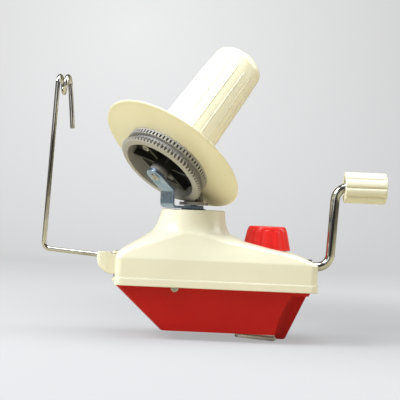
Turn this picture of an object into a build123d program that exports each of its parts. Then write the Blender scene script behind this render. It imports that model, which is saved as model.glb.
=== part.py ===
from build123d import *
import os
from math import acos, atan2, cos, pi, radians, sin, sqrt, tan

# Hand-cranked yarn winder, millimetres.
# The origin is the middle of the flat underside that rests on the table.
# +X points to the crank, +Y to the back and +Z up.

# ---------------------------------------------------------------- cases
wall = 2.4                   # moulded wall of both cases
seam_height = 35.5           # where the upper case meets the lower one
case_left = 83.1             # end wall of the upper case, left of the origin
case_right = 79.2            # end wall on the crank side
case_half_width = 37.0
case_corner = 6.0            # plan radius of the upper case's corners
band_height = 5.9            # raised band along the seam
band_proud = 0.6
side_height = 57.0           # top of the upright sides
foot_height = 78.5           # where the turret starts
foot_left = 57.2             # foot of the turret, left of the origin
foot_right = 9.5
foot_half_width = 30.5
turret_height = 97.8         # flat top of the turret
turret_radius = 26.1
turret_edge = 1.4            # rounding of the turret's top edge
spindle_x = -22.5            # upright spindle axis

base_left = 45.0             # flat underside
base_right = 47.5
base_half_width = 27.5
lower_inset = 0.4            # lower case's rim, back from the upper case
lower_half_width = 34.5
lower_corner = 6.0
spine_top = 74.5             # right end of the lower case at the seam
spine_base = 58.3            # and at table level
spine_half_width = 12.0
spine_drop = 4.5             # how far the spine's tip hangs below the table face
rim_thickness = 3.0          # rim that closes the case above the two hollows
rim_end_left = 57.6          # right end of the lower case's side walls at the rim
hollow_corner = 7.0

# ---------------------------------------------------------------- shaft and crank
shaft_height = 55.0
rod_radius = 3.8
shaft_reach = 9.0            # shaft end, past the spindle axis
arm_foot_x = 91.4            # corner of the bent rod, at the shaft
arm_head_x = 94.4            # corner of the bent rod, at the grip
grip_height = 121.5
rod_end_x = 131.0
bend_radius = 11.0
grip_start_x = 101.0
grip_length = 34.6
grip_radius = 12.8
grip_staves = 10
stave_gap = 1.3
stave_depth = 1.1
grip_mouth_radius = 8.5
grip_mouth_depth = 6.0
grip_recess_radius = 6.4
grip_recess_depth = 7.6
cap_thickness = 2.6
cap_crown = 0.5
retainer_thickness = 1.2
running_gap = 0.05           # radial gap of a turning fit
axial_gap = 0.3              # end gap of a turning fit
bushing_wall = 2.0
crank_bushing_length = 14.0
boss_wall = 2.5
clip_thickness = 0.8
clip_width = 2.0
groove_depth = 0.6

# ---------------------------------------------------------------- gears
gear_module = 1.0
pressure_angle = radians(20)
addendum = 0.85              # tooth height above the pitch line, in modules
dedendum = 1.2               # tooth depth below the pitch line, in modules
backlash = 0.24
gear_face = 6.0              # tooth length of the crank pair
spool_gear_face = 4.8        # tooth length of the spool pair
crank_teeth = 48
pinion_teeth = 14
ring_teeth = 72
fixed_teeth = 14
hub_radius = 8.0
crank_hub_length = 14.0
gear_rim = 4.5
gear_web = 2.5
cross_pin_radius = 1.25

# ---------------------------------------------------------------- rotor
post_radius = 3.0            # post that stands still in the spindle
post_foot = 61.5
sleeve_foot = 75.0
sleeve_radius = 6.0
sleeve_neck_radius = 4.4     # under the pinion
sleeve_collar_radius = 8.0
sleeve_collar = 0.6
bushing_flange = 0.8
bushing_flange_radius = 10.0
turret_bushing_foot = 84.0
strip_thickness = 2.0
strip_width = 16.4
strip_bend = 3.0             # centreline radius of the strip's bends
arm_length = 16.5            # from the spool axis to the bend
fixed_disc_radius = 12.0
fixed_disc = 2.5
fixed_pin_radius = 0.9

# ---------------------------------------------------------------- spool
spool_tilt = radians(40)     # spool axis from the upright
spool_heading = radians(39)  # its heading from +X towards +Y
tooth_gap_height = 3.1       # middle of the spool gear's teeth above the fixed disc
arm_to_teeth = 7.67          # from the bracket arm's face to the middle of the teeth
axle_radius = 3.0
axle_length = 49.0
rivet_radius = 3.8
rivet_height = 1.4
washer_thickness = 1.0
washer_radius = 8.0
hub_length = 45.0
cup_lip = 4.4                # lip of the cup gear, from the arm's face
cup_lip_radius = 33.4
cup_inner_radius = 31.2
cup_floor = 15.0
cup_back = 17.4
cup_rim_start = 12.6
cup_rim_radius = 37.0
rib_count = 6
rib_thickness = 2.0
rib_foot = 10.0
flange_radius = 62.8
flange_thickness = 2.0
flange_rise = 4.2            # how far the flange is dished
flange_flat_radius = 38.0
flange_bead = 1.5            # radius of the rolled rim
core_foot_radius = 25.0
core_head_radius = 21.9
core_length = 112.0
core_dome = 9.0              # rounding of the core's head
core_crown = 2.0
core_wall = 2.2
core_ridges = 18
ridge_width = 1.0
ridge_height = 0.7
ridge_start = 3.0
ridge_end = 17.0             # from the head
spool_screw_circle = 20.0
spool_screw_count = 3
spool_screw_angle = 30.0
screw_radius = 1.5
screw_head_radius = 3.0
screw_head = 2.0
screw_boss_radius = 3.6
spool_screw_length = 12.0

# ---------------------------------------------------------------- clamp
clamp_x = 39.5               # screw axis
clamp_y = 10.0
clamp_screw_radius = 4.0
clamp_screw_foot = 4.0
knob_foot = 67.0
knob_height = 19.4
knob_foot_radius = 20.0
knob_head_radius = 16.0
knob_cap = 3.0
knob_cap_step = 0.5
knob_flutes = 14
flute_radius = 3.4
flute_depth = 0.8
knob_wall = 2.6
knob_hub_radius = 7.5
pocket_gap = 1.5
pocket_floor_gap = 0.7
jaw_thickness = 2.5
jaw_half_width = 8.0
jaw_leg_x = 49.7             # middle of the jaw's leg
jaw_tip_x = 16.0
jaw_tip_gap = 2.2            # tip below the table face at rest
jaw_toe = radians(4)
jaw_bend = 3.4
jaw_flange_foot = 36.0       # underside of the jaw's upper flange
jaw_flange_x = 33.0
jaw_tab_radius = 6.5
jaw_corner = 4.0
channel_gap = 0.6
nut_radius = 6.2
nut_height = 6.0

# ---------------------------------------------------------------- yarn guide
guide_pin_x = -85.3
guide_pin_radius = 1.1
guide_pin_foot = 36.2
ear_radius = 2.2
ear_foot_height = 3.0
ear_head_foot = 59.0
ear_head_height = 2.0
lug_foot = 42.0
lug_head = 58.7
lug_crest = 60.2
lug_end_x = -100.4
lug_half_width = 4.0
lug_taper_length = 8.0
lug_end_bevel = 2.2          # bevel of the lug's free end, in plan
wire_radius = 1.9
wire_start = (-89.5, 0.0, 56.5)
wire_corner = (-144.8, 0.0, 60.9)
wire_bend = 5.0
eye_radius = 6.8             # centreline of the pigtail eye
eye_height = 196.3
eye_x = -137.8
eye_pitch = 6.4              # advance of the eye in one turn
wire_tail = (-125.7, 5.0, 160.8)

# ---------------------------------------------------------------- inner frame and screws
frame_half_width = 12.0
frame_left = 9.0             # column sides, from the spindle axis
frame_right = 3.5
frame_head = 71.0
frame_foot = 5.0
frame_foot_thickness = 4.0
frame_foot_reach = 6.0
frame_screw_y = 8.0
frame_screw_length = 12.0
case_screw_places = ((-38.0, 20.0), (-38.0, -20.0), (26.0, 22.0), (26.0, -22.0))
case_column_radius = 5.5
case_column_depth = 28.0     # depth of the screw's well from the table face
case_screw_length = 18.0


def blend(start, end, share):
    """Value a share of the way from start to end."""
    return start + (end - start) * share


def rounded_plan(height, left, right, half_width, corner):
    """Rounded rectangle in plan, from left to right and as wide both ways in Y."""
    with BuildSketch(Plane.XY.offset(height)) as plan:
        with Locations(((left + right) / 2, 0)):
            RectangleRounded(right - left, 2 * half_width, corner)
    return plan


# Sections of the upper case from its sides up to the turret's foot: share of the
# height, then how far the left end, the right end, the sides and the corners have
# gone from the upright sides to the turret's foot.
shoulder_sections = (
    (0.00, 0.000, 0.000, 0.000, 0.00),
    (0.05, 0.004, 0.014, 0.030, 0.02),
    (0.13, 0.020, 0.060, 0.100, 0.05),
    (0.25, 0.090, 0.145, 0.210, 0.12),
    (0.39, 0.225, 0.275, 0.350, 0.24),
    (0.55, 0.430, 0.540, 0.530, 0.43),
    (0.76, 0.710, 0.830, 0.750, 0.70),
    (1.00, 1.000, 1.000, 1.000, 1.00),
)
# The turret in the same way, from its foot to its round top.
turret_sections = (
    (0.12, 0.26, 0.36, 0.34, 0.40),
    (0.28, 0.50, 0.66, 0.60, 0.70),
    (0.50, 0.70, 0.86, 0.80, 0.85),
    (0.75, 0.87, 0.96, 0.93, 0.95),
)


def upper_case_plans(inset):
    """Plans of the upper case from its sides to the turret's top, moved in by inset."""
    foot_corner = foot_half_width - 0.3
    plans = []
    for rise, left, right, side, corner in shoulder_sections:
        plans.append(rounded_plan(
            blend(side_height, foot_height, rise) - inset,
            blend(-case_left, -foot_left, left) + inset,
            blend(case_right, foot_right, right) - inset,
            blend(case_half_width, foot_half_width, side) - inset,
            blend(case_corner, foot_corner, corner) - 0.95 * inset,
        ))
    for rise, left, right, side, corner in turret_sections:
        plans.append(rounded_plan(
            blend(foot_height, turret_height, rise) - inset,
            blend(-foot_left, spindle_x - turret_radius, left) + inset,
            blend(foot_right, spindle_x + turret_radius, right) - inset,
            blend(foot_half_width, turret_radius, side) - inset,
            blend(foot_corner, turret_radius - 0.2, corner) - inset,
        ))
    # The turret's top edge is rounded in three steps.
    for turn in (0.0, pi / 4, pi / 2):
        radius = turret_radius - turret_edge * (1 - cos(turn)) - inset
        plans.append(rounded_plan(
            turret_height - turret_edge * (1 - sin(turn)) - inset,
            spindle_x - radius,
            spindle_x + radius,
            radius,
            radius - 0.2,
        ))
    return plans


def turning_frame(origin, mesh_direction, axis_direction):
    """Plane of a gear: its origin is the cone's apex and its x runs to the mesh."""
    return Plane(origin=origin, x_dir=mesh_direction, z_dir=axis_direction)


def section(frame, height=0.0):
    """Plane for a turned profile: local x is the radius and local y the axis."""
    start = frame.origin + frame.z_dir * height
    return Plane(origin=start, x_dir=frame.x_dir, z_dir=frame.x_dir.cross(frame.z_dir))


def axis_of(frame):
    """Axis of a gear or a shaft from its frame."""
    return Axis(frame.origin, frame.z_dir)


def dome_middle(radius, rise):
    """Radius half-way out on a dome centred on its axis, and the height over its rim."""
    sphere = (radius ** 2 + rise ** 2) / (2 * rise)
    return radius / 2, sqrt(sphere ** 2 - (radius / 2) ** 2) - sphere + rise


def turned_copies(part, axis, count):
    """Copies of a part, spaced evenly round an axis."""
    return [part.rotate(axis, 360 / count * index) for index in range(count)]


def involute(angle):
    """Involute function of a pressure angle."""
    return tan(angle) - angle


def space_outline(teeth, cone_angle, scale):
    """Outline of a tooth space on the back cone: across, and out from the pitch line."""
    pitch_radius = teeth * gear_module / 2 / cos(cone_angle)
    base_radius = pitch_radius * cos(pressure_angle)
    half_at_pitch = (pi * gear_module / 4 + backlash / 2) / pitch_radius
    flank = []
    for reach in (-dedendum, 0.0, addendum + 0.5):
        radius = pitch_radius + reach * gear_module
        roll = acos(min(1.0, base_radius / radius))
        half = half_at_pitch + involute(roll) - involute(pressure_angle)
        across = radius * sin(half) * scale
        outward = (radius * cos(half) - pitch_radius) * scale
        flank.append((across, outward))
    mirrored = [(-across, outward) for across, outward in reversed(flank)]
    return flank + mirrored


def tooth_spaces(frame, teeth, cone_angle, face, turned=0.0):
    """Solids to cut from a bevel blank so that its teeth are left."""
    mean_distance = teeth * gear_module / 2 / sin(cone_angle)
    along = frame.x_dir * sin(cone_angle) - frame.z_dir * cos(cone_angle)
    with BuildPart() as space:
        for distance in (mean_distance - face / 2, mean_distance + face / 2):
            across_plane = Plane(
                origin=frame.origin + along * distance, x_dir=frame.y_dir, z_dir=along
            )
            with BuildSketch(across_plane):
                Polygon(*space_outline(teeth, cone_angle, distance / mean_distance), align=None)
        loft(ruled=True)
    axis = axis_of(frame)
    first = space.part.rotate(axis, 360 / teeth * turned)
    return turned_copies(first, axis, teeth)


# ---------------------------------------------------------------- places worked out
crank_cone = atan2(crank_teeth, pinion_teeth)
pinion_cone = pi / 2 - crank_cone
fixed_cone = atan2(sin(spool_tilt), ring_teeth / fixed_teeth + cos(spool_tilt))
ring_cone = spool_tilt - fixed_cone
crank_pitch_radius = crank_teeth * gear_module / 2
pinion_pitch_radius = pinion_teeth * gear_module / 2
fixed_pitch_radius = fixed_teeth * gear_module / 2
ring_pitch_radius = ring_teeth * gear_module / 2

bracket_foot = turret_height + bushing_flange + running_gap
sleeve_head = bracket_foot + strip_thickness + sleeve_collar
fixed_disc_foot = sleeve_head + axial_gap
fixed_disc_head = fixed_disc_foot + fixed_disc
mesh_height = fixed_disc_head + tooth_gap_height
fixed_gear_head = mesh_height + spool_gear_face / 2 * cos(fixed_cone) - 0.1
apex_height = mesh_height + fixed_pitch_radius / tan(fixed_cone)

heading = Vector(cos(spool_heading), sin(spool_heading), 0)
spool_direction = heading * sin(spool_tilt) + Vector(0, 0, cos(spool_tilt))
downhill = heading * cos(spool_tilt) - Vector(0, 0, sin(spool_tilt))

shaft_point = Vector(spindle_x, 0, shaft_height)
apex_point = Vector(spindle_x, 0, apex_height)
crank_frame = turning_frame(shaft_point, Vector(0, 0, 1), Vector(-1, 0, 0))
pinion_frame = turning_frame(shaft_point, Vector(1, 0, 0), Vector(0, 0, -1))
fixed_frame = turning_frame(apex_point, heading * -1, Vector(0, 0, 1))
ring_frame = turning_frame(apex_point, downhill, spool_direction)
spindle_frame = turning_frame(Vector(spindle_x, 0, 0), Vector(1, 0, 0), Vector(0, 0, 1))
spool_seat = -(ring_pitch_radius / tan(ring_cone) + arm_to_teeth)
spool_section = section(ring_frame, spool_seat)
spool_axis = axis_of(ring_frame)
spindle_section = section(spindle_frame)
spindle_axis = axis_of(spindle_frame)
grip_frame = turning_frame(Vector(0, 0, grip_height), Vector(0, 0, 1), Vector(1, 0, 0))
clamp_frame = turning_frame(Vector(clamp_x, clamp_y, 0), Vector(1, 0, 0), Vector(0, 0, 1))
clamp_section = section(clamp_frame)
clamp_axis = axis_of(clamp_frame)
shaft_plane = Plane(origin=(0, 0, shaft_height), x_dir=(0, 1, 0), z_dir=(1, 0, 0))


def spool_plane(distance):
    """Plane across the spool axis, at a distance from the bracket arm's face."""
    start = ring_frame.origin + ring_frame.z_dir * (spool_seat + distance)
    return Plane(origin=start, x_dir=ring_frame.x_dir, z_dir=ring_frame.z_dir)


def shaft_ring(start_x, length, outer, inner):
    """Ring round the crank shaft."""
    with BuildPart() as ring:
        with BuildSketch(shaft_plane.offset(start_x)):
            Circle(outer)
            Circle(inner, mode=Mode.SUBTRACT)
        extrude(amount=length)
    return ring


# ---------------------------------------------------------------- upper case
pocket_radius = knob_foot_radius + pocket_gap
pocket_floor = knob_foot - pocket_floor_gap
bushing_radius = rod_radius + running_gap + bushing_wall
bushing_end_x = case_right - wall
clip_x = bushing_end_x - crank_bushing_length - clip_thickness - axial_gap
turret_bushing_radius = sleeve_radius + running_gap + bushing_wall - 0.5
shaft_hole_radius = rod_radius + axial_gap

with BuildPart() as case_cavity:
    with BuildSketch(Plane.XY.offset(seam_height)):
        with Locations(((case_right - case_left) / 2, 0)):
            RectangleRounded(
                case_left + case_right - 2 * wall, 2 * (case_half_width - wall), case_corner - wall
            )
    extrude(amount=side_height - wall - seam_height)
    cavity_plans = upper_case_plans(wall)
    loft(sections=[plan.sketch for plan in cavity_plans], ruled=True)
    # The turret's hub, the pad below the knob and the shaft's boss stay solid.
    with BuildSketch(Plane.XY.offset(turret_bushing_foot)):
        with Locations((spindle_x, 0)):
            Circle(turret_bushing_radius + boss_wall)
    extrude(amount=turret_height - turret_bushing_foot, mode=Mode.SUBTRACT)
    with BuildSketch(Plane.XY.offset(pocket_floor - wall)):
        with Locations((clamp_x, clamp_y)):
            Circle(pocket_radius + wall)
    extrude(amount=turret_height - pocket_floor, mode=Mode.SUBTRACT)
    with BuildSketch(shaft_plane.offset(bushing_end_x - crank_bushing_length)):
        Circle(bushing_radius + boss_wall)
    extrude(amount=crank_bushing_length + wall, mode=Mode.SUBTRACT)
    with BuildSketch(Plane.XY.offset(seam_height)):
        with Locations(*case_screw_places):
            Circle(case_column_radius - 1)
    extrude(amount=foot_height - seam_height, mode=Mode.SUBTRACT)

with BuildPart() as upper_case:
    with BuildSketch(Plane.XY.offset(seam_height)):
        with Locations(((case_right - case_left) / 2, 0)):
            RectangleRounded(case_left + case_right, 2 * case_half_width, case_corner)
    extrude(amount=side_height - seam_height)
    outer_plans = upper_case_plans(0.0)
    loft(sections=[plan.sketch for plan in outer_plans], ruled=True)
    with BuildSketch(Plane.XY.offset(seam_height)):
        with Locations(((case_right - case_left) / 2, 0)):
            RectangleRounded(
                case_left + case_right + 2 * band_proud,
                2 * (case_half_width + band_proud),
                case_corner + band_proud,
            )
    extrude(amount=band_height)
    # Two ears carry the yarn guide's pin.
    for ear_foot, ear_height in (
        (guide_pin_foot, ear_foot_height), (ear_head_foot, ear_head_height)
    ):
        with BuildSketch(Plane.XY.offset(ear_foot)):
            with Locations((guide_pin_x, 0)):
                Circle(ear_radius)
            with Locations(((guide_pin_x - case_left) / 2 + wall / 4, 0)):
                Rectangle(guide_pin_x * -1 - case_left + wall / 2, 2 * ear_radius)
        extrude(amount=ear_height)
    add(case_cavity.part, mode=Mode.SUBTRACT)
    # Bores of the guide pin, the spindle's bearing, the shaft and the clamp screw.
    with BuildSketch(Plane.XY.offset(guide_pin_foot)):
        with Locations((guide_pin_x, 0)):
            Circle(guide_pin_radius)
    extrude(amount=ear_head_foot + ear_head_height - guide_pin_foot, mode=Mode.SUBTRACT)
    with BuildSketch(Plane.XY.offset(turret_bushing_foot)):
        with Locations((spindle_x, 0)):
            Circle(turret_bushing_radius)
    extrude(amount=turret_height - turret_bushing_foot, mode=Mode.SUBTRACT)
    with BuildSketch(shaft_plane.offset(bushing_end_x - crank_bushing_length)):
        Circle(bushing_radius)
    extrude(amount=crank_bushing_length, mode=Mode.SUBTRACT)
    with BuildSketch(shaft_plane.offset(bushing_end_x)):
        Circle(shaft_hole_radius)
    extrude(amount=2 * wall, mode=Mode.SUBTRACT)
    with BuildSketch(Plane.XY.offset(pocket_floor)):
        with Locations((clamp_x, clamp_y)):
            Circle(pocket_radius)
    extrude(amount=turret_height - pocket_floor, mode=Mode.SUBTRACT)
    with BuildSketch(Plane.XY.offset(pocket_floor)):
        with Locations((clamp_x, clamp_y)):
            Circle(clamp_screw_radius + axial_gap)
    extrude(amount=-2 * wall, mode=Mode.SUBTRACT)
    with BuildSketch(Plane.XY.offset(seam_height)):
        with Locations(*case_screw_places):
            Circle(screw_radius)
    extrude(amount=case_column_depth + case_screw_length - seam_height, mode=Mode.SUBTRACT)

# ---------------------------------------------------------------- lower case
lower_left = case_left - lower_inset
channel_left = jaw_leg_x - 6.0
channel_right = jaw_leg_x + jaw_thickness / 2 + channel_gap

with BuildPart() as lower_cavity:
    for height, left, right, half_width in (
        (wall, base_left - wall, base_right - wall, base_half_width - wall),
        (seam_height, lower_left - 1.5 * wall, rim_end_left - wall, lower_half_width - wall),
    ):
        with BuildSketch(Plane.XY.offset(height)):
            with Locations(((right - left) / 2, 0)):
                RectangleRounded(left + right, 2 * half_width, lower_corner - wall)
    loft(ruled=True)
    # Columns of the case screws and pads of the inner frame stay solid.
    with BuildSketch():
        with Locations(*case_screw_places):
            Circle(case_column_radius)
    extrude(amount=seam_height, mode=Mode.SUBTRACT)
    with BuildSketch():
        with Locations((spindle_x - (frame_left - frame_right) / 2, 0)):
            Rectangle(frame_left + frame_right + 2 * frame_foot_reach, 2 * frame_half_width)
    extrude(amount=frame_foot, mode=Mode.SUBTRACT)

with BuildPart() as lower_case:
    for height, left, right, half_width in (
        (0.0, base_left, spine_base, base_half_width),
        (seam_height, lower_left, spine_top, lower_half_width),
    ):
        with BuildSketch(Plane.XY.offset(height)):
            with Locations(((right - left) / 2, 0)):
                RectangleRounded(left + right, 2 * half_width, lower_corner)
    loft(ruled=True)
    # Two scooped hollows leave the spine between them.
    for side in (-1, 1):
        hollow_inner = side * spine_half_width
        hollow_outer = side * 3 * spine_half_width
        for height, hollow_left in (
            (-1.0, base_right - 0.3),
            ((seam_height - rim_thickness) / 2, blend(base_right, rim_end_left, 0.35)),
            (seam_height - rim_thickness, rim_end_left),
        ):
            with BuildSketch(Plane.XY.offset(height)):
                with Locations(((hollow_left + 2 * spine_top) / 2, (hollow_inner + hollow_outer) / 2)):
                    RectangleRounded(
                        2 * spine_top - hollow_left, 2 * spine_half_width, hollow_corner
                    )
        loft(mode=Mode.SUBTRACT)
    # The spine's tip reaches below the table face, round the jaw's leg.
    lean = (spine_top - spine_base) / seam_height
    with BuildSketch(Plane.XZ.offset(-spine_half_width)):
        with BuildLine():
            FilletPolyline(
                (base_right + 0.5, 3.0),
                (base_right + 1.0, -spine_drop),
                (spine_base - lean * spine_drop, -spine_drop),
                (spine_base + lean * 3.0, 3.0),
                radius=2.5,
            )
            Line((spine_base + lean * 3.0, 3.0), (base_right + 0.5, 3.0))
        make_face()
    extrude(amount=2 * spine_half_width)
    add(lower_cavity.part, mode=Mode.SUBTRACT)
    # Channel of the jaw's leg.
    with BuildSketch(Plane.XY.offset(-spine_drop)):
        with Locations(((channel_left + channel_right) / 2, 0)):
            Rectangle(channel_right - channel_left, 2 * (jaw_half_width + channel_gap))
    extrude(amount=spine_drop + seam_height, mode=Mode.SUBTRACT)
    # Wells and holes of the screws.
    with BuildSketch():
        with Locations(*case_screw_places):
            Circle(screw_head_radius + axial_gap)
    extrude(amount=case_column_depth, mode=Mode.SUBTRACT)
    with BuildSketch():
        with Locations(*case_screw_places):
            Circle(screw_radius)
    extrude(amount=seam_height, mode=Mode.SUBTRACT)
    with BuildSketch():
        with Locations((spindle_x, frame_screw_y), (spindle_x, -frame_screw_y)):
            Circle(screw_radius)
    extrude(amount=frame_foot, mode=Mode.SUBTRACT)
    with BuildSketch():
        with Locations((spindle_x, frame_screw_y), (spindle_x, -frame_screw_y)):
            Circle(screw_head_radius + axial_gap)
    extrude(amount=screw_head + axial_gap, mode=Mode.SUBTRACT)

# ---------------------------------------------------------------- screws of the cases
with BuildPart() as case_screws:
    with BuildSketch(Plane.XY.offset(case_column_depth)):
        with Locations(*case_screw_places):
            Circle(screw_radius)
    extrude(amount=case_screw_length)
    with BuildSketch(Plane.XY.offset(case_column_depth - screw_head)):
        with Locations(*case_screw_places):
            Circle(screw_head_radius)
    extrude(amount=screw_head)

with BuildPart() as frame_screws:
    with BuildSketch(Plane.XY.offset(axial_gap)):
        with Locations((spindle_x, frame_screw_y), (spindle_x, -frame_screw_y)):
            Circle(screw_head_radius)
    extrude(amount=screw_head)
    with BuildSketch(Plane.XY.offset(axial_gap + screw_head)):
        with Locations((spindle_x, frame_screw_y), (spindle_x, -frame_screw_y)):
            Circle(screw_radius)
    extrude(amount=frame_screw_length)

# ---------------------------------------------------------------- inner frame and post
with BuildPart() as gear_frame:
    with BuildSketch(Plane.XY.offset(frame_foot)):
        with Locations((spindle_x - (frame_left - frame_right) / 2, 0)):
            Rectangle(frame_left + frame_right + frame_foot_reach, 2 * frame_half_width)
    extrude(amount=frame_foot_thickness)
    with BuildSketch(Plane.YZ.offset(spindle_x - frame_left)):
        with BuildLine():
            Polyline(
                (-frame_half_width, frame_foot),
                (-frame_half_width, frame_foot + 2 * frame_foot_thickness),
                (-hub_radius, shaft_height - hub_radius),
                (-hub_radius, frame_head),
                (hub_radius, frame_head),
                (hub_radius, shaft_height - hub_radius),
                (frame_half_width, frame_foot + 2 * frame_foot_thickness),
                (frame_half_width, frame_foot),
                close=True,
            )
        make_face()
    extrude(amount=frame_left + frame_right)
    with BuildSketch(shaft_plane.offset(spindle_x - frame_left)):
        Circle(rod_radius + running_gap)
    extrude(amount=frame_left + frame_right, mode=Mode.SUBTRACT)
    with BuildSketch(Plane.XY.offset(post_foot)):
        with Locations((spindle_x, 0)):
            Circle(post_radius)
    extrude(amount=frame_head - post_foot, mode=Mode.SUBTRACT)
    with BuildSketch(Plane.XY.offset(frame_foot)):
        with Locations((spindle_x, frame_screw_y), (spindle_x, -frame_screw_y)):
            Circle(screw_radius)
    extrude(amount=frame_screw_length, mode=Mode.SUBTRACT)

with BuildPart() as fixed_gear_pin:
    with BuildSketch(Plane(
        origin=Vector(spindle_x, 0, fixed_disc_foot + fixed_disc / 2) - heading * fixed_disc_radius,
        x_dir=(0, 0, 1),
        z_dir=heading,
    )):
        Circle(fixed_pin_radius)
    extrude(amount=2 * fixed_disc_radius)

clip_groove = post_radius - groove_depth
with BuildPart() as centre_post:
    with BuildSketch(spindle_section):
        with BuildLine():
            Polyline(
                (0, post_foot),
                (post_radius, post_foot),
                (post_radius, sleeve_foot - axial_gap - clip_thickness),
                (clip_groove, sleeve_foot - axial_gap - clip_thickness),
                (clip_groove, sleeve_foot - axial_gap),
                (post_radius, sleeve_foot - axial_gap),
                (post_radius, fixed_gear_head),
                (0, fixed_gear_head),
                close=True,
            )
        make_face()
    revolve(axis=spindle_axis)
    add(fixed_gear_pin.part, mode=Mode.SUBTRACT)

with BuildPart() as post_clip:
    with BuildSketch(Plane.XY.offset(sleeve_foot - axial_gap - clip_thickness)):
        with Locations((spindle_x, 0)):
            Circle(post_radius + clip_width)
            Circle(clip_groove, mode=Mode.SUBTRACT)
    extrude(amount=clip_thickness)

# ---------------------------------------------------------------- fixed gear
with BuildPart() as fixed_gear:
    tooth_tip = addendum * gear_module
    lower_tip = fixed_pitch_radius + tooth_tip + (mesh_height - fixed_disc_head) * tan(fixed_cone)
    upper_tip = fixed_pitch_radius + tooth_tip - (fixed_gear_head - mesh_height) * tan(fixed_cone)
    with BuildSketch(spindle_section):
        with BuildLine():
            Polyline(
                (post_radius, fixed_disc_foot),
                (fixed_disc_radius, fixed_disc_foot),
                (fixed_disc_radius, fixed_disc_head),
                (lower_tip, fixed_disc_head),
                (upper_tip, fixed_gear_head),
                (post_radius, fixed_gear_head),
                close=True,
            )
        make_face()
    revolve(axis=spindle_axis)
    add(
        tooth_spaces(fixed_frame, fixed_teeth, fixed_cone, spool_gear_face + 0.6, 0.5),
        mode=Mode.SUBTRACT,
    )
    add(fixed_gear_pin.part, mode=Mode.SUBTRACT)

# ---------------------------------------------------------------- rotor
with BuildPart() as turret_bushing:
    with BuildSketch(Plane.XY.offset(turret_bushing_foot)):
        with Locations((spindle_x, 0)):
            Circle(turret_bushing_radius)
    extrude(amount=turret_height - turret_bushing_foot)
    with BuildSketch(Plane.XY.offset(turret_height)):
        with Locations((spindle_x, 0)):
            Circle(bushing_flange_radius)
    extrude(amount=bushing_flange)
    with BuildSketch(Plane.XY.offset(turret_bushing_foot)):
        with Locations((spindle_x, 0)):
            Circle(sleeve_radius + running_gap)
    extrude(amount=turret_height + bushing_flange - turret_bushing_foot, mode=Mode.SUBTRACT)

pinion_distance = pinion_pitch_radius / sin(pinion_cone)
pinion_foot = shaft_height + (pinion_distance - gear_face / 2) * cos(pinion_cone)
pinion_head = shaft_height + (pinion_distance + gear_face / 2) * cos(pinion_cone) + 0.6
with BuildPart() as rotor_sleeve:
    with BuildSketch(spindle_section):
        with BuildLine():
            Polyline(
                (post_radius + running_gap, sleeve_foot),
                (sleeve_neck_radius, sleeve_foot),
                (sleeve_neck_radius, pinion_head),
                (sleeve_radius, pinion_head),
                (sleeve_radius, bracket_foot + strip_thickness),
                (sleeve_collar_radius, bracket_foot + strip_thickness),
                (sleeve_collar_radius, sleeve_head),
                (post_radius + running_gap, sleeve_head),
                close=True,
            )
        make_face()
    revolve(axis=spindle_axis)

with BuildPart() as rotor_pinion:
    pinion_slope = tan(pinion_cone)
    pinion_tip = addendum * gear_module / cos(pinion_cone)
    with BuildSketch(spindle_section):
        with BuildLine():
            Polyline(
                (sleeve_neck_radius, pinion_foot),
                ((pinion_foot - shaft_height) * pinion_slope + pinion_tip, pinion_foot),
                ((pinion_head - shaft_height) * pinion_slope + pinion_tip, pinion_head),
                (sleeve_neck_radius, pinion_head),
                close=True,
            )
        make_face()
    revolve(axis=spindle_axis)
    add(
        tooth_spaces(pinion_frame, pinion_teeth, pinion_cone, gear_face + 2.5, 0.5),
        mode=Mode.SUBTRACT,
    )

# The strip bracket: foot on the turret, upright leg and inclined arm.
strip_middle = bracket_foot + strip_thickness / 2
seat_h = sin(spool_tilt) * (spool_seat - strip_thickness / 2)
seat_z = apex_height + cos(spool_tilt) * (spool_seat - strip_thickness / 2)
leg_h = seat_h + arm_length * cos(spool_tilt)
leg_z = seat_z - arm_length * sin(spool_tilt)
arm_tip_h = seat_h - strip_width / 2 * cos(spool_tilt)
arm_tip_z = seat_z + strip_width / 2 * sin(spool_tilt)
bracket_plane = Plane(
    origin=(spindle_x, 0, 0), x_dir=heading, z_dir=heading.cross(Vector(0, 0, 1))
)
with BuildPart() as rotor_bracket:
    with BuildSketch(bracket_plane.offset(-strip_width / 2)):
        with BuildLine() as strip_line:
            FilletPolyline(
                (strip_width / 2, strip_middle),
                (leg_h, strip_middle),
                (leg_h, leg_z),
                (arm_tip_h, arm_tip_z),
                radius=strip_bend,
            )
        trace(line_width=strip_thickness)
    extrude(amount=strip_width)
    foot_ends = edges().filter_by(Axis.Z).filter_by(lambda edge: edge.length < 1.5 * strip_thickness)
    arm_ends = edges().filter_by(spool_axis)
    fillet(foot_ends + arm_ends, strip_width / 2 - 0.2)
    with BuildSketch(Plane.XY.offset(bracket_foot)):
        with Locations((spindle_x, 0)):
            Circle(sleeve_radius)
    extrude(amount=strip_thickness, mode=Mode.SUBTRACT)
    with BuildSketch(spool_plane(-strip_thickness)):
        Circle(axle_radius)
    extrude(amount=strip_thickness, mode=Mode.SUBTRACT)

hub_start = washer_thickness + running_gap
axle_clip = hub_start + hub_length + axial_gap
with BuildPart() as spool_axle:
    rivet_middle, rivet_middle_rise = dome_middle(rivet_radius, rivet_height)
    with BuildSketch(spool_section):
        with BuildLine():
            ThreePointArc(
                (0, -strip_thickness - rivet_height),
                (rivet_middle, -strip_thickness - rivet_middle_rise),
                (rivet_radius, -strip_thickness),
            )
            Polyline(
                (rivet_radius, -strip_thickness),
                (axle_radius, -strip_thickness),
                (axle_radius, axle_clip),
                (axle_radius - groove_depth, axle_clip),
                (axle_radius - groove_depth, axle_clip + clip_thickness),
                (axle_radius, axle_clip + clip_thickness),
                (axle_radius, axle_length),
                (0, axle_length),
                (0, -strip_thickness - rivet_height),
            )
        make_face()
    revolve(axis=spool_axis)

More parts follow.
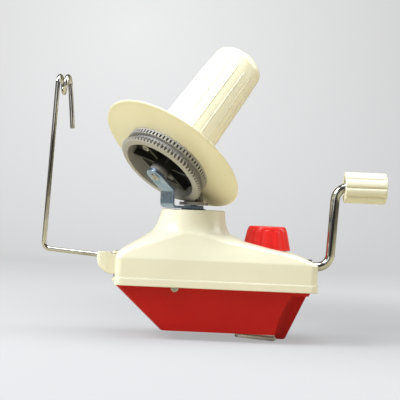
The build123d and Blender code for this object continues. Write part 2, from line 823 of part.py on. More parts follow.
with BuildPart() as spool_washer:
    with BuildSketch(spool_plane(0)):
        Circle(washer_radius)
        Circle(axle_radius, mode=Mode.SUBTRACT)
    extrude(amount=washer_thickness)

with BuildPart() as spool_clip:
    with BuildSketch(spool_plane(axle_clip)):
        Circle(axle_radius + clip_width)
        Circle(axle_radius - groove_depth, mode=Mode.SUBTRACT)
    extrude(amount=clip_thickness)

# ---------------------------------------------------------------- spool
ring_distance = ring_pitch_radius / sin(ring_cone)


def ring_point(distance, out):
    """Radius and height on the ring gear at a cone distance, out from the pitch cone."""
    radius = distance * sin(ring_cone) + out * cos(ring_cone)
    height = -spool_seat - distance * cos(ring_cone) + out * sin(ring_cone)
    return radius, height


outer_distance = ring_distance + spool_gear_face / 2
inner_distance = ring_distance - spool_gear_face / 2
ring_tip = addendum * gear_module
ring_root = -(dedendum + 0.3) * gear_module
with BuildPart() as ring_gear:
    with BuildSketch(spool_section):
        with BuildLine():
            Polyline(
                (axle_radius + running_gap, hub_start),
                (hub_radius, hub_start),
                (hub_radius, cup_floor),
                (cup_inner_radius, cup_floor),
                (cup_inner_radius, cup_lip),
                (cup_lip_radius, cup_lip),
                ring_point(outer_distance, ring_root),
                ring_point(outer_distance, ring_tip),
                ring_point(inner_distance, ring_tip),
                ring_point(inner_distance, ring_root),
                (ring_point(inner_distance, ring_root)[0], cup_rim_start),
                (cup_rim_radius, cup_rim_start),
                (cup_rim_radius, cup_back),
                (hub_radius, cup_back),
                (hub_radius, hub_start + hub_length),
                (axle_radius + running_gap, hub_start + hub_length),
                close=True,
            )
        make_face()
    revolve(axis=spool_axis)
    add(
        tooth_spaces(ring_frame, ring_teeth, ring_cone, spool_gear_face + 1.2),
        mode=Mode.SUBTRACT,
    )
    with BuildSketch(spool_plane(rib_foot)):
        with PolarLocations(0, rib_count):
            with Locations(((hub_radius + cup_inner_radius) / 2, 0)):
                Rectangle(cup_inner_radius - hub_radius + 1, rib_thickness)
    extrude(amount=cup_floor - rib_foot)
    with BuildSketch(spool_plane(cup_floor)):
        with PolarLocations(spool_screw_circle, spool_screw_count, start_angle=spool_screw_angle):
            Circle(screw_radius)
    extrude(amount=cup_back - cup_floor, mode=Mode.SUBTRACT)

core_foot = cup_back + flange_thickness
rim_height = cup_back + flange_rise
with BuildPart() as spool_flange:
    with BuildSketch(spool_section):
        with BuildLine():
            Polyline(
                (hub_radius + axial_gap, cup_back),
                (flange_flat_radius, cup_back),
                (flange_radius - 2 * flange_bead, rim_height),
            )
            ThreePointArc(
                (flange_radius - 2 * flange_bead, rim_height),
                (flange_radius, rim_height + flange_thickness / 2),
                (flange_radius - 2 * flange_bead, rim_height + flange_thickness),
            )
            Polyline(
                (flange_radius - 2 * flange_bead, rim_height + flange_thickness),
                (flange_flat_radius, core_foot),
                (hub_radius + axial_gap, core_foot),
                (hub_radius + axial_gap, cup_back),
            )
        make_face()
    revolve(axis=spool_axis)
    with BuildSketch(spool_plane(cup_back)):
        with PolarLocations(spool_screw_circle, spool_screw_count, start_angle=spool_screw_angle):
            Circle(screw_radius)
    extrude(amount=flange_thickness, mode=Mode.SUBTRACT)

core_head = core_foot + core_length
core_slope = (core_foot_radius - core_head_radius) / core_length
crown_middle, crown_middle_rise = dome_middle(core_head_radius - core_dome, core_crown)
ridge_reach = core_length - ridge_start - ridge_end
with BuildPart() as core_ridge:
    for height in (ridge_start, ridge_start + ridge_reach):
        with BuildSketch(spool_plane(core_foot + height)):
            with Locations((core_foot_radius - core_slope * height, 0)):
                Rectangle(2 * ridge_height, ridge_width)
    loft(ruled=True)

with BuildPart() as spool_core:
    with BuildSketch(spool_section):
        with BuildLine():
            Polyline(
                (core_foot_radius - core_wall, core_foot),
                (core_foot_radius, core_foot),
                (core_head_radius, core_head - core_dome),
            )
            ThreePointArc(
                (core_head_radius, core_head - core_dome),
                (
                    core_head_radius - core_dome * (1 - cos(pi / 4)),
                    core_head - core_dome * (1 - sin(pi / 4)),
                ),
                (core_head_radius - core_dome, core_head),
            )
            ThreePointArc(
                (core_head_radius - core_dome, core_head),
                (crown_middle, core_head + crown_middle_rise),
                (0, core_head + core_crown),
            )
            Polyline(
                (0, core_head + core_crown),
                (0, core_head - core_wall),
                (core_head_radius - core_dome, core_head - core_wall),
                (core_head_radius - core_wall, core_head - core_dome),
                (core_foot_radius - core_wall, core_foot),
            )
        make_face()
    revolve(axis=spool_axis)
    add(turned_copies(core_ridge.part, spool_axis, core_ridges))
    # Bosses for the screws that come up from the gear.
    with BuildSketch(spool_plane(core_foot)):
        with PolarLocations(spool_screw_circle, spool_screw_count, start_angle=spool_screw_angle):
            Circle(screw_boss_radius)
    extrude(amount=spool_screw_length)
    with BuildSketch(spool_plane(core_foot)):
        with PolarLocations(spool_screw_circle, spool_screw_count, start_angle=spool_screw_angle):
            Circle(screw_radius)
    extrude(amount=spool_screw_length - wall, mode=Mode.SUBTRACT)

with BuildPart() as spool_screws:
    with BuildSketch(spool_plane(cup_floor)):
        with PolarLocations(spool_screw_circle, spool_screw_count, start_angle=spool_screw_angle):
            Circle(screw_head_radius)
    extrude(amount=-screw_head)
    with BuildSketch(spool_plane(cup_floor)):
        with PolarLocations(spool_screw_circle, spool_screw_count, start_angle=spool_screw_angle):
            Circle(screw_radius)
    extrude(amount=spool_screw_length)

# ---------------------------------------------------------------- crank
shaft_end_x = spindle_x - shaft_reach
rod_groove = rod_radius - groove_depth
retainer_x = grip_start_x + grip_length - grip_recess_depth + axial_gap
cross_pin_x = spindle_x + frame_right + axial_gap + crank_hub_length - 3.5
with BuildPart() as crank_gear_pin:
    with BuildSketch(Plane.XY.offset(shaft_height - hub_radius)):
        with Locations((cross_pin_x, 0)):
            Circle(cross_pin_radius)
    extrude(amount=2 * hub_radius)

with BuildPart() as crank_arm:
    with BuildLine() as rod_line:
        FilletPolyline(
            (shaft_end_x, 0, shaft_height),
            (arm_foot_x, 0, shaft_height),
            (arm_head_x, 0, grip_height),
            (rod_end_x, 0, grip_height),
            radius=bend_radius,
        )
    with BuildSketch(shaft_plane.offset(shaft_end_x)):
        Circle(rod_radius)
    sweep()
    with BuildSketch(shaft_plane.offset(clip_x)):
        Circle(rod_radius)
        Circle(rod_groove, mode=Mode.SUBTRACT)
    extrude(amount=clip_thickness, mode=Mode.SUBTRACT)
    add(crank_gear_pin.part, mode=Mode.SUBTRACT)

shaft_clip = shaft_ring(clip_x, clip_thickness, rod_radius + clip_width, rod_groove)
crank_bushing = shaft_ring(
    bushing_end_x - crank_bushing_length, crank_bushing_length, bushing_radius,
    rod_radius + running_gap,
)

crank_distance = crank_pitch_radius / sin(crank_cone)


def crank_point(distance, out):
    """Radius and height on the crank gear at a cone distance, out from the pitch cone."""
    radius = distance * sin(crank_cone) + out * cos(crank_cone)
    height = -distance * cos(crank_cone) + out * sin(crank_cone)
    return radius, height


with BuildPart() as crank_gear:
    face_start = crank_distance - gear_face / 2
    face_end = crank_distance + gear_face / 2
    rim_inner = crank_point(face_start, 0)[0] - 0.5
    rim_back = crank_point(face_end, 0)[1] - gear_rim
    web_front = rim_back + gear_web
    hub_front = -frame_right - axial_gap
    with BuildSketch(section(crank_frame)):
        with BuildLine():
            Polyline(
                (rod_radius, hub_front),
                (hub_radius, hub_front),
                (hub_radius, web_front),
                (rim_inner, web_front),
                crank_point(face_start, addendum * gear_module),
                crank_point(face_end, addendum * gear_module),
                (crank_point(face_end, 0)[0] + 0.2, rim_back),
                (hub_radius, rim_back),
                (hub_radius, hub_front - crank_hub_length),
                (rod_radius, hub_front - crank_hub_length),
                close=True,
            )
        make_face()
    revolve(axis=axis_of(crank_frame))
    add(
        tooth_spaces(crank_frame, crank_teeth, crank_cone, gear_face + 1.5),
        mode=Mode.SUBTRACT,
    )
    add(crank_gear_pin.part, mode=Mode.SUBTRACT)

grip_end_x = grip_start_x + grip_length
with BuildPart() as crank_grip:
    with BuildSketch(section(grip_frame)):
        with BuildLine():
            FilletPolyline(
                (rod_radius + running_gap, grip_start_x + grip_mouth_depth),
                (grip_mouth_radius, grip_start_x + grip_mouth_depth),
                (grip_mouth_radius, grip_start_x),
                (grip_radius, grip_start_x),
                (grip_radius, grip_end_x),
                (grip_recess_radius, grip_end_x),
                (grip_recess_radius, grip_end_x - grip_recess_depth),
                (rod_radius + running_gap, grip_end_x - grip_recess_depth),
                radius=[0, 0, 1.2, 3.5, 0, 0],
            )
            Line(
                (rod_radius + running_gap, grip_end_x - grip_recess_depth),
                (rod_radius + running_gap, grip_start_x + grip_mouth_depth),
            )
        make_face()
    revolve(axis=axis_of(grip_frame))
    with BuildSketch(Plane(origin=(grip_start_x, 0, grip_height), x_dir=(0, 1, 0), z_dir=(1, 0, 0))):
        with PolarLocations(grip_radius, grip_staves, start_angle=180 / grip_staves):
            Rectangle(2 * stave_depth, stave_gap)
    extrude(amount=grip_length - 2 * stave_depth, mode=Mode.SUBTRACT)

with BuildPart() as grip_cap:
    cap_middle, cap_middle_rise = dome_middle(grip_recess_radius, cap_crown)
    with BuildSketch(section(grip_frame)):
        with BuildLine():
            Polyline(
                (0, grip_end_x + cap_crown),
                (0, grip_end_x - cap_thickness),
                (grip_recess_radius, grip_end_x - cap_thickness),
                (grip_recess_radius, grip_end_x),
            )
            ThreePointArc(
                (grip_recess_radius, grip_end_x),
                (cap_middle, grip_end_x + cap_middle_rise),
                (0, grip_end_x + cap_crown),
            )
        make_face()
    revolve(axis=axis_of(grip_frame))

with BuildPart() as grip_retainer:
    with BuildSketch(section(grip_frame)):
        with Locations((rod_radius + clip_width / 2, retainer_x + retainer_thickness / 2)):
            Rectangle(clip_width, retainer_thickness)
    revolve(axis=axis_of(grip_frame))

# ---------------------------------------------------------------- clamp
knob_head = knob_foot + knob_height
knob_slope = (knob_foot_radius - knob_head_radius) / knob_height
cap_foot_radius = knob_head_radius + knob_slope * knob_cap
with BuildPart() as knob_flute:
    for height in (0.0, knob_height - knob_cap):
        with BuildSketch(clamp_frame.offset(knob_foot + height)):
            flute_middle = knob_foot_radius - knob_slope * height + flute_radius - flute_depth
            with Locations((flute_middle, 0)):
                RegularPolygon(flute_radius, 8)
    loft(ruled=True)

with BuildPart() as clamp_knob:
    with BuildSketch(clamp_section):
        with BuildLine():
            FilletPolyline(
                (clamp_screw_radius, knob_foot),
                (knob_hub_radius, knob_foot),
                (knob_hub_radius, knob_head - knob_cap - knob_wall),
                (cap_foot_radius - knob_wall, knob_head - knob_cap - knob_wall),
                (knob_foot_radius - knob_wall, knob_foot),
                (knob_foot_radius, knob_foot),
                (cap_foot_radius, knob_head - knob_cap),
                (cap_foot_radius - knob_cap_step, knob_head - knob_cap),
                (knob_head_radius - knob_cap_step, knob_head),
                (0, knob_head),
                radius=[0, 0, 0, 0, 0, 0, 0, 1.2],
            )
            Polyline(
                (0, knob_head),
                (0, knob_head - knob_cap),
                (clamp_screw_radius, knob_head - knob_cap),
                (clamp_screw_radius, knob_foot),
            )
        make_face()
    revolve(axis=clamp_axis)
    add(turned_copies(knob_flute.part, clamp_axis, knob_flutes), mode=Mode.SUBTRACT)

clamp_groove = clamp_screw_radius - groove_depth
screw_clip = pocket_floor - wall - axial_gap - clip_thickness
with BuildPart() as clamp_screw:
    with BuildSketch(clamp_section):
        with BuildLine():
            Polyline(
                (0, clamp_screw_foot),
                (clamp_screw_radius - 1, clamp_screw_foot),
                (clamp_screw_radius, clamp_screw_foot + 1),
                (clamp_screw_radius, screw_clip),
                (clamp_groove, screw_clip),
                (clamp_groove, screw_clip + clip_thickness),
                (clamp_screw_radius, screw_clip + clip_thickness),
                (clamp_screw_radius, knob_head - knob_cap),
                (0, knob_head - knob_cap),
                close=True,
            )
        make_face()
    revolve(axis=clamp_axis)

with BuildPart() as clamp_clip:
    with BuildSketch(clamp_frame.offset(screw_clip)):
        Circle(clamp_screw_radius + clip_width)
        Circle(clamp_groove, mode=Mode.SUBTRACT)
    extrude(amount=clip_thickness)

leg_top = jaw_flange_foot + jaw_thickness / 2
jaw_tip_z = -jaw_tip_gap - jaw_thickness / 2
jaw_heel_z = jaw_tip_z - (jaw_leg_x - jaw_tip_x) * tan(jaw_toe)
with BuildPart() as clamp_jaw:
    with BuildSketch(Plane.XZ.offset(-jaw_half_width)):
        with BuildLine():
            FilletPolyline(
                (jaw_tip_x, jaw_tip_z),
                (jaw_leg_x, jaw_heel_z),
                (jaw_leg_x, leg_top),
                (jaw_flange_x, leg_top),
                radius=jaw_bend,
            )
        trace(line_width=jaw_thickness)
    extrude(amount=2 * jaw_half_width)
    tip_edges = faces().sort_by(Axis.X)[0].edges()
    tip_corners = tip_edges.filter_by(lambda edge: edge.length < 1.5 * jaw_thickness)
    fillet(tip_corners, jaw_corner)
    with BuildSketch(Plane.XY.offset(jaw_flange_foot)):
        with Locations((clamp_x, clamp_y)):
            Circle(jaw_tab_radius)
        with Locations((clamp_x, clamp_y / 2)):
            Rectangle(2 * jaw_tab_radius, clamp_y)
        with Locations((clamp_x, clamp_y)):
            Circle(clamp_screw_radius + running_gap, mode=Mode.SUBTRACT)
    extrude(amount=jaw_thickness)
    with BuildSketch(Plane.XY.offset(jaw_flange_foot)):
        with Locations((clamp_x, clamp_y)):
            Circle(clamp_screw_radius + running_gap)
    extrude(amount=jaw_thickness, mode=Mode.SUBTRACT)

with BuildPart() as clamp_nut:
    with BuildSketch(clamp_frame.offset(jaw_flange_foot + jaw_thickness)):
        RegularPolygon(nut_radius, 6)
        Circle(clamp_screw_radius + running_gap, mode=Mode.SUBTRACT)
    extrude(amount=nut_height)

# ---------------------------------------------------------------- yarn guide
with BuildPart() as guide_wire:
    eye_top = eye_height + eye_radius
    eye_bottom = eye_height - eye_radius
    with BuildLine() as wire_line:
        FilletPolyline(
            wire_start,
            wire_corner,
            (eye_x, -eye_radius, eye_top),
            (eye_x + 0.25 * eye_pitch, eye_radius, eye_top),
            (eye_x + 0.55 * eye_pitch, eye_radius, eye_bottom),
            (eye_x + 0.85 * eye_pitch, -eye_radius, eye_bottom),
            (eye_x + 1.05 * eye_pitch, -eye_radius, eye_top),
            (eye_x + 1.25 * eye_pitch, eye_radius, eye_top),
            wire_tail,
            radius=[wire_bend] + [eye_radius - 0.15] * 6,
        )
    wire_heading = Vector(*wire_corner) - Vector(*wire_start)
    with BuildSketch(Plane(origin=wire_start, z_dir=wire_heading)):
        Circle(wire_radius)
    sweep()

with BuildPart() as guide_holder:
    taper_x = guide_pin_x - lug_taper_length
    knuckle_radius = -guide_pin_x - case_left - axial_gap
    with BuildSketch(Plane.XY.offset(lug_foot)):
        with Locations((guide_pin_x, 0)):
            Circle(knuckle_radius)
        with BuildLine():
            Polyline(
                (guide_pin_x, knuckle_radius),
                (taper_x, lug_half_width),
                (lug_end_x + lug_end_bevel, lug_half_width),
                (lug_end_x, lug_half_width - lug_end_bevel),
                (lug_end_x, lug_end_bevel - lug_half_width),
                (lug_end_x + lug_end_bevel, -lug_half_width),
                (taper_x, -lug_half_width),
                (guide_pin_x, -knuckle_radius),
                close=True,
            )
        make_face()
    extrude(amount=lug_crest - lug_foot)
    with BuildSketch(Plane.XZ.offset(-lug_half_width)):
        with BuildLine():
            Polyline(
                (guide_pin_x + ear_radius, lug_foot),
                (guide_pin_x + ear_radius, lug_head),
                (guide_pin_x - ear_radius - 0.8, lug_head),
                (guide_pin_x - ear_radius - 1.5, lug_crest),
                (lug_end_x + 1.6, lug_crest),
                (lug_end_x - 0.1, lug_crest - 1.4),
                (lug_end_x - 0.1, lug_crest - 4.0),
            )
            ThreePointArc(
                (lug_end_x - 0.1, lug_crest - 4.0),
                (lug_end_x + 3.2, lug_foot + 5.0),
                (guide_pin_x - ear_radius, lug_foot),
            )
            Line((guide_pin_x - ear_radius, lug_foot), (guide_pin_x + ear_radius, lug_foot))
        make_face()
    extrude(amount=2 * lug_half_width, mode=Mode.INTERSECT)
    with BuildSketch(Plane.XY.offset(lug_foot)):
        with Locations((guide_pin_x, 0)):
            Circle(guide_pin_radius + running_gap)
    extrude(amount=lug_crest - lug_foot, mode=Mode.SUBTRACT)
    with BuildSketch(Plane(origin=wire_start, z_dir=wire_heading)):
        Circle(wire_radius)
    extrude(amount=guide_pin_x - lug_end_x, mode=Mode.SUBTRACT)

with BuildPart() as guide_pin:
    with BuildSketch(Plane.XY.offset(guide_pin_foot)):
        with Locations((guide_pin_x, 0)):
            Circle(guide_pin_radius)
    extrude(amount=ear_head_foot + ear_head_height - guide_pin_foot)
    with BuildSketch(Plane.XY.offset(ear_head_foot + ear_head_height)):
        with Locations((guide_pin_x, 0)):
            Circle(ear_radius - 0.3)
    extrude(amount=0.6)

# ---------------------------------------------------------------- write the pieces
pieces = {
    "upper_case": upper_case,
    "lower_case": lower_case,
    "case_screws": case_screws,
    "frame_screws": frame_screws,
    "gear_frame": gear_frame,
    "centre_post": centre_post,
    "post_clip": post_clip,
    "fixed_gear": fixed_gear,
    "fixed_gear_pin": fixed_gear_pin,
    "turret_bushing": turret_bushing,
    "crank_bushing": crank_bushing,
    "guide_pin": guide_pin,
    "rotor_sleeve": rotor_sleeve,
    "rotor_pinion": rotor_pinion,
    "rotor_bracket": rotor_bracket,
    "spool_axle": spool_axle,
    "spool_washer": spool_washer,
    "spool_clip": spool_clip,
    "ring_gear": ring_gear,
    "spool_flange": spool_flange,
    "spool_core": spool_core,
    "spool_screws": spool_screws,
    "crank_arm": crank_arm,
    "crank_gear": crank_gear,
    "crank_gear_pin": crank_gear_pin,
    "shaft_clip": shaft_clip,
    "grip_retainer": grip_retainer,
    "crank_grip": crank_grip,
    "grip_cap": grip_cap,
    "clamp_knob": clamp_knob,
    "clamp_screw": clamp_screw,
    "clamp_clip": clamp_clip,
    "clamp_jaw": clamp_jaw,
    "clamp_nut": clamp_nut,
    "guide_holder": guide_holder,
    "guide_wire": guide_wire,
}
os.makedirs("parts", exist_ok=True)
for name, piece in pieces.items():
    piece.part.label = name
    export_step(piece.part, f"parts/{name}.step")
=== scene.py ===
"""Hand-cranked yarn winder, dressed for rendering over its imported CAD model."""
import logging
from collections.abc import Callable
from dataclasses import dataclass
from enum import Enum
from functools import cache
from math import cos, pi, radians, sin, sqrt, tan

import bmesh
import bpy
from mathutils import Matrix, Vector


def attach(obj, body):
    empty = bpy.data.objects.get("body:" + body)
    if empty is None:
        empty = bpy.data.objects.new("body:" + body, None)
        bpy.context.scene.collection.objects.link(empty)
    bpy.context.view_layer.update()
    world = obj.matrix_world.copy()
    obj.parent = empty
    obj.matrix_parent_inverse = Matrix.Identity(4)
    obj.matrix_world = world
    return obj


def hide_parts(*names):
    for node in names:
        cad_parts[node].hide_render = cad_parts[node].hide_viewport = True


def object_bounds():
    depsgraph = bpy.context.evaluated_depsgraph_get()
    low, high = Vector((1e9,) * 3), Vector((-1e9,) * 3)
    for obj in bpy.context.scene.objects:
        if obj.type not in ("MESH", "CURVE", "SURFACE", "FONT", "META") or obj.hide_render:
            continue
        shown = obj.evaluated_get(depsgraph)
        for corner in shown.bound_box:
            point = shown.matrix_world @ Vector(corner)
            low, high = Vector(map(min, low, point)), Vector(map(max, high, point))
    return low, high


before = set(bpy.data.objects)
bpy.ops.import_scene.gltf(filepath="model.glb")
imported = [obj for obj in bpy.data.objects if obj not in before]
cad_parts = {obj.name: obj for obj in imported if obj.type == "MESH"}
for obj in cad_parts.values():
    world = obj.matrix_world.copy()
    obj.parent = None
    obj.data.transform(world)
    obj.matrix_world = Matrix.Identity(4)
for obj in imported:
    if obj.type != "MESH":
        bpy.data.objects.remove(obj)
CAD_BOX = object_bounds()
MM = 0.001
log = logging.getLogger("yarn_winder")

Point = tuple[float, float, float]
Colour = tuple[float, float, float, float]
Outline = list[tuple[float, float]]
Socket = bpy.types.NodeSocket
Mesh = bpy.types.Mesh
Material = bpy.types.Material
Value = Socket | float
Inputs = dict[str | int, object]
Ripple = Callable[[float, float, float], float]


class Body(Enum):
    """Moving groups of the winder."""

    CASE = "case"
    ROTOR = "rotor"
    SPOOL = "spool"
    CRANK = "crank"
    GRIP = "grip"
    KNOB = "knob"
    JAW = "jaw"
    GUIDE = "guide"


class Slot(Enum):
    """Finish slots that the part's record names."""

    CREAM = "cream_plastic"
    RED = "red_plastic"
    GREY = "grey_plastic"
    ZINC = "zinc_steel"
    STEEL = "bright_steel"
    CHROME = "chrome_wire"
    BEARING = "bearing_plastic"


class Look(Enum):
    """Looks of the surfaces, each for one slot."""

    CREAM_CASE = "cream_case"
    CREAM_SPOOL = "cream_spool"
    RED_CASE = "red_case"
    RED_KNOB = "red_knob"
    GREY_GEAR = "grey_gear"
    GREY_CUP = "grey_cup"
    BEARING = "bearing"
    ZINC = "zinc"
    ZINC_JAW_PAINTED_LIGHT = "zinc_jaw_painted_light"
    STEEL = "steel"
    CHROME = "chrome"


def srgb(code: str) -> Colour:
    """Linear colour, with full opacity, of a screen colour's hex code."""
    parts = [c / 255 for c in bytes.fromhex(code)]
    return (*(c / 12.92 if c <= 0.04045 else ((c + 0.055) / 1.055) ** 2.4 for c in parts), 1.0)


def scaled(point: Point) -> Point:
    """Millimetres in metres."""
    return tuple(c * MM for c in point)


def placed(name: str, data: bpy.types.ID) -> bpy.types.Object:
    """Puts a new object into the scene.

    Args:
        name: Name of the object.
        data: What it shows.

    Returns:
        The new object.
    """
    thing = bpy.data.objects.new(name, data)
    bpy.context.scene.collection.objects.link(thing)
    return thing


@dataclass(frozen=True)
class Turning:
    """Frame of a turned piece: origin in millimetres, axis, and where the angle starts."""

    origin: Point
    axis: Point
    start: Point

    def matrix(self) -> Matrix:
        """Frame as a matrix.

        Returns:
            The matrix from turned coordinates in metres to the row frame.
        """
        along = Vector(self.axis).normalized()
        first = Vector(self.start)
        first = (first - along * first.dot(along)).normalized()
        rows = Matrix((first, along.cross(first), along)).transposed().to_4x4()
        return Matrix.Translation(Vector(self.origin) * MM) @ rows


SPOOL_FRAME = Turning((-53.2033, -24.8631, 124.4148), (0.49954, 0.40452, 0.76604),
                      (0.59533, 0.48209, -0.64279))
GRIP_FRAME = Turning((0.0, 0.0, 121.5), (1.0, 0.0, 0.0), (0.0, 0.0, 1.0))
KNOB_FRAME = Turning((39.5, 10.0, 0.0), (0.0, 0.0, 1.0), (1.0, 0.0, 0.0))


class NodeKit:
    """Builds nodes in a tree."""

    def __init__(self, tree: bpy.types.NodeTree) -> None:
        """Takes the tree to build in."""
        self.tree = tree

    def feed(self, target: Socket, value: object) -> None:
        """Links an input when the value is a socket, and sets it otherwise."""
        if isinstance(value, Socket):
            self.tree.links.new(value, target)
        else:
            target.default_value = value

    def node(self, kind: str, inputs: Inputs | None = None, **settings: object) -> bpy.types.Node:
        """Adds a node.

        Args:
            kind: Node type.
            inputs: Socket or plain value of each changed input.
            **settings: Attributes of the node.

        Returns:
            The new node.
        """
        node = self.tree.nodes.new(kind)
        for name, value in settings.items():
            setattr(node, name, value)
        for name, value in (inputs or {}).items():
            self.feed(node.inputs[name], value)
        return node

    def add(self, kind: str, inputs: Inputs | None = None, output: str | int = 0,
            **settings: object) -> Socket:
        """Adds a node and gives its first output, or the one asked for."""
        return self.node(kind, inputs, **settings).outputs[output]

    def math(self, operation: str, first: Value, second: Value) -> Socket:
        """Joins two values, each a socket or a number."""
        return self.add("ShaderNodeMath", {0: first, 1: second}, operation=operation)

    def ramp(self, source: Socket, start: float, end: float, low: float = 0.0,
             high: float = 1.0, kind: str = "LINEAR") -> Socket:
        """Value mapped from the range start to end to the range low to high, and kept inside."""
        return self.add("ShaderNodeMapRange", {
            "Value": source, "From Min": start, "From Max": end, "To Min": low, "To Max": high},
            interpolation_type=kind)


class NodeBench(NodeKit):
    """Workbench for one material's nodes."""

    def __init__(self, name: str) -> None:
        """Starts a material with nothing but its place.

        Args:
            name: Name of the material.
        """
        self.material = bpy.data.materials.new(name)
        self.material.use_nodes = True
        super().__init__(self.material.node_tree)
        self.tree.nodes.clear()
        self.place = self.add("ShaderNodeTexCoord", output="Object")

    def finish(self, shader: Socket) -> Material:
        """Ends the material in a shader."""
        self.node("ShaderNodeOutputMaterial", {"Surface": shader})
        return self.material

    def noise(self, scale: float, detail: float, stretch: Point = (1.0, 1.0, 1.0)) -> Socket:
        """Noise on Object coordinates, with about as many features per metre as its scale."""
        where = self.add("ShaderNodeMapping", {"Vector": self.place, "Scale": stretch})
        return self.add("ShaderNodeTexNoise", {"Vector": where, "Scale": scale, "Detail": detail})

    def measure(self, operation: str, *vectors: Socket | Point) -> Socket:
        """Value that an operation on vectors gives."""
        inputs = dict(enumerate(vectors))
        return self.add("ShaderNodeVectorMath", inputs, "Value", operation=operation)

    def far(self, point: Point) -> Socket:
        """Distance from a point in metres."""
        return self.measure("DISTANCE", self.place, point)

    def tint(self, amount: Socket, first: Socket | Colour, second: Socket | Colour,
             blend: str = "MIX") -> Socket:
        """Mixes two colours.

        Args:
            amount: How much of the second colour.
            first: First colour.
            second: Second colour.
            blend: Way of mixing.

        Returns:
            The mixed colour.
        """
        node = self.node("ShaderNodeMix", {"Factor": amount}, data_type="RGBA", blend_type=blend)
        for name, value in (("A", first), ("B", second)):
            self.feed(next(s for s in node.inputs if s.name == name and s.type == "RGBA"), value)
        return next(s for s in node.outputs if s.type == "RGBA")

    def edges(self, width: float) -> tuple[Socket, Socket]:
        """Softens the normal on edges.

        Args:
            width: Radius of the soft edge in metres.

        Returns:
            The softened normal, and a mask that is 1 on edges.
        """
        soft = self.add("ShaderNodeBevel", {"Radius": width}, samples=6)
        flat = self.add("ShaderNodeNewGeometry", output="Normal")
        return soft, self.ramp(self.measure("DOT_PRODUCT", soft, flat), 0.98, 0.80)

    def inside(self, where: Turning, radius: float, start: float, depth: float) -> Socket:
        """Mask that grows to 1 inside a round cup.

        Args:
            where: Frame of the cup, its axis pointing into it.
            radius: Inner radius of the cup in metres.
            start: Distance along the axis where the mask starts.
            depth: Distance over which it grows.

        Returns:
            The mask.
        """
        soft = 0.0004
        off = self.add("ShaderNodeVectorMath", {0: self.place, 1: scaled(where.origin)},
                       operation="SUBTRACT")
        along = self.measure("DOT_PRODUCT", off, where.axis)
        away = self.measure("LENGTH", off)
        square = self.math("SUBTRACT", self.math("POWER", away, 2.0), self.math("POWER", along, 2.0))
        near = self.ramp(self.math("POWER", square, 0.5), radius + soft, radius - soft)
        return self.math("MULTIPLY", near, self.ramp(along, start, start + depth))

    def bump(self, height: Socket, normal: Socket, strength: float, distance: float) -> Socket:
        """Normal raised by a height map from 0 to 1; distance is its height at 1, in metres."""
        return self.add("ShaderNodeBump", {"Strength": strength, "Distance": distance,
                                           "Height": height, "Normal": normal})

    def principled(self, **inputs: object) -> Material:
        """Ends the material in a Principled shader; _ stands for a space in an input's name."""
        named = {name.replace("_", " "): value for name, value in inputs.items()}
        return self.finish(self.add("ShaderNodeBsdfPrincipled", named))


@dataclass(frozen=True)
class MouldedPlastic:
    """Injection-moulded plastic with a fine skin, worn edges, and painted shade in corners and inside
    a cup.
    """

    slot: Slot
    colour: str
    shade: str
    wear: str
    corner_shade_colour: str
    roughness: float = 0.34
    grain: float = 0.25
    edge: float = 0.0006
    wear_amount: float = 0.35
    corner_shade: float = 0.45
    specular: float = 0.5
    cup: bool = False
    cup_radius: float = 0.03
    cup_depth: float = 0.006
    cup_shade: Colour = (0.04, 0.04, 0.04, 1.0)
    corner: float = 0.004
    blotch_scale: float = 22.0
    pore_scale: float = 900.0
    ripple_scale: float = 38.0
    scuff_scale: float = 300.0
    ripple_height: float = 0.0003
    grain_height: float = 0.00006
    ior: float = 1.49

    def make(self, name: str) -> Material:
        """Builds the material.

        Args:
            name: Name of the material.

        Returns:
            The finished material.
        """
        bench = NodeBench(name)
        blotch = bench.noise(self.blotch_scale, 4.0)
        pores = bench.noise(self.pore_scale, 2.0)
        ripple = bench.noise(self.ripple_scale, 1.0)
        scuff = bench.noise(self.scuff_scale, 5.0)
        normal, edge_mask = bench.edges(self.edge)
        colour = bench.tint(bench.ramp(blotch, 0.35, 0.70), srgb(self.colour), srgb(self.shade))
        scraped = bench.ramp(scuff, 0.42, 0.62, 0.0, self.wear_amount)
        colour = bench.tint(bench.math("MULTIPLY", edge_mask, scraped), colour, srgb(self.wear))
        # Painted shade: ambient occlusion darkens corners, creases and slots towards the corner shade
        # colour.
        corner = bench.add("ShaderNodeAmbientOcclusion", {"Distance": self.corner}, "AO",
                           samples=6, only_local=True)
        corner_shade = bench.ramp(corner, 0.7, 0.15, 0.0, self.corner_shade)
        colour = bench.tint(corner_shade, colour, srgb(self.corner_shade_colour), "MULTIPLY")
        # Painted shade: the inside of the spool's cup is darkened, where little light reaches.
        if self.cup:
            hollow = bench.inside(SPOOL_FRAME, self.cup_radius, 0.0, self.cup_depth)
            colour = bench.tint(hollow, colour, self.cup_shade, "MULTIPLY")
        rough = bench.ramp(scuff, 0.35, 0.75, self.roughness - 0.03, self.roughness + 0.06)
        rough = bench.math("ADD", rough, bench.ramp(blotch, 0.3, 0.7, -0.02, 0.03))
        normal = bench.bump(ripple, normal, 0.2, self.ripple_height)
        normal = bench.bump(pores, normal, self.grain, self.grain_height)
        return bench.principled(Base_Color=colour, Roughness=rough, Normal=normal, IOR=self.ior,
                                Specular_IOR_Level=self.specular)


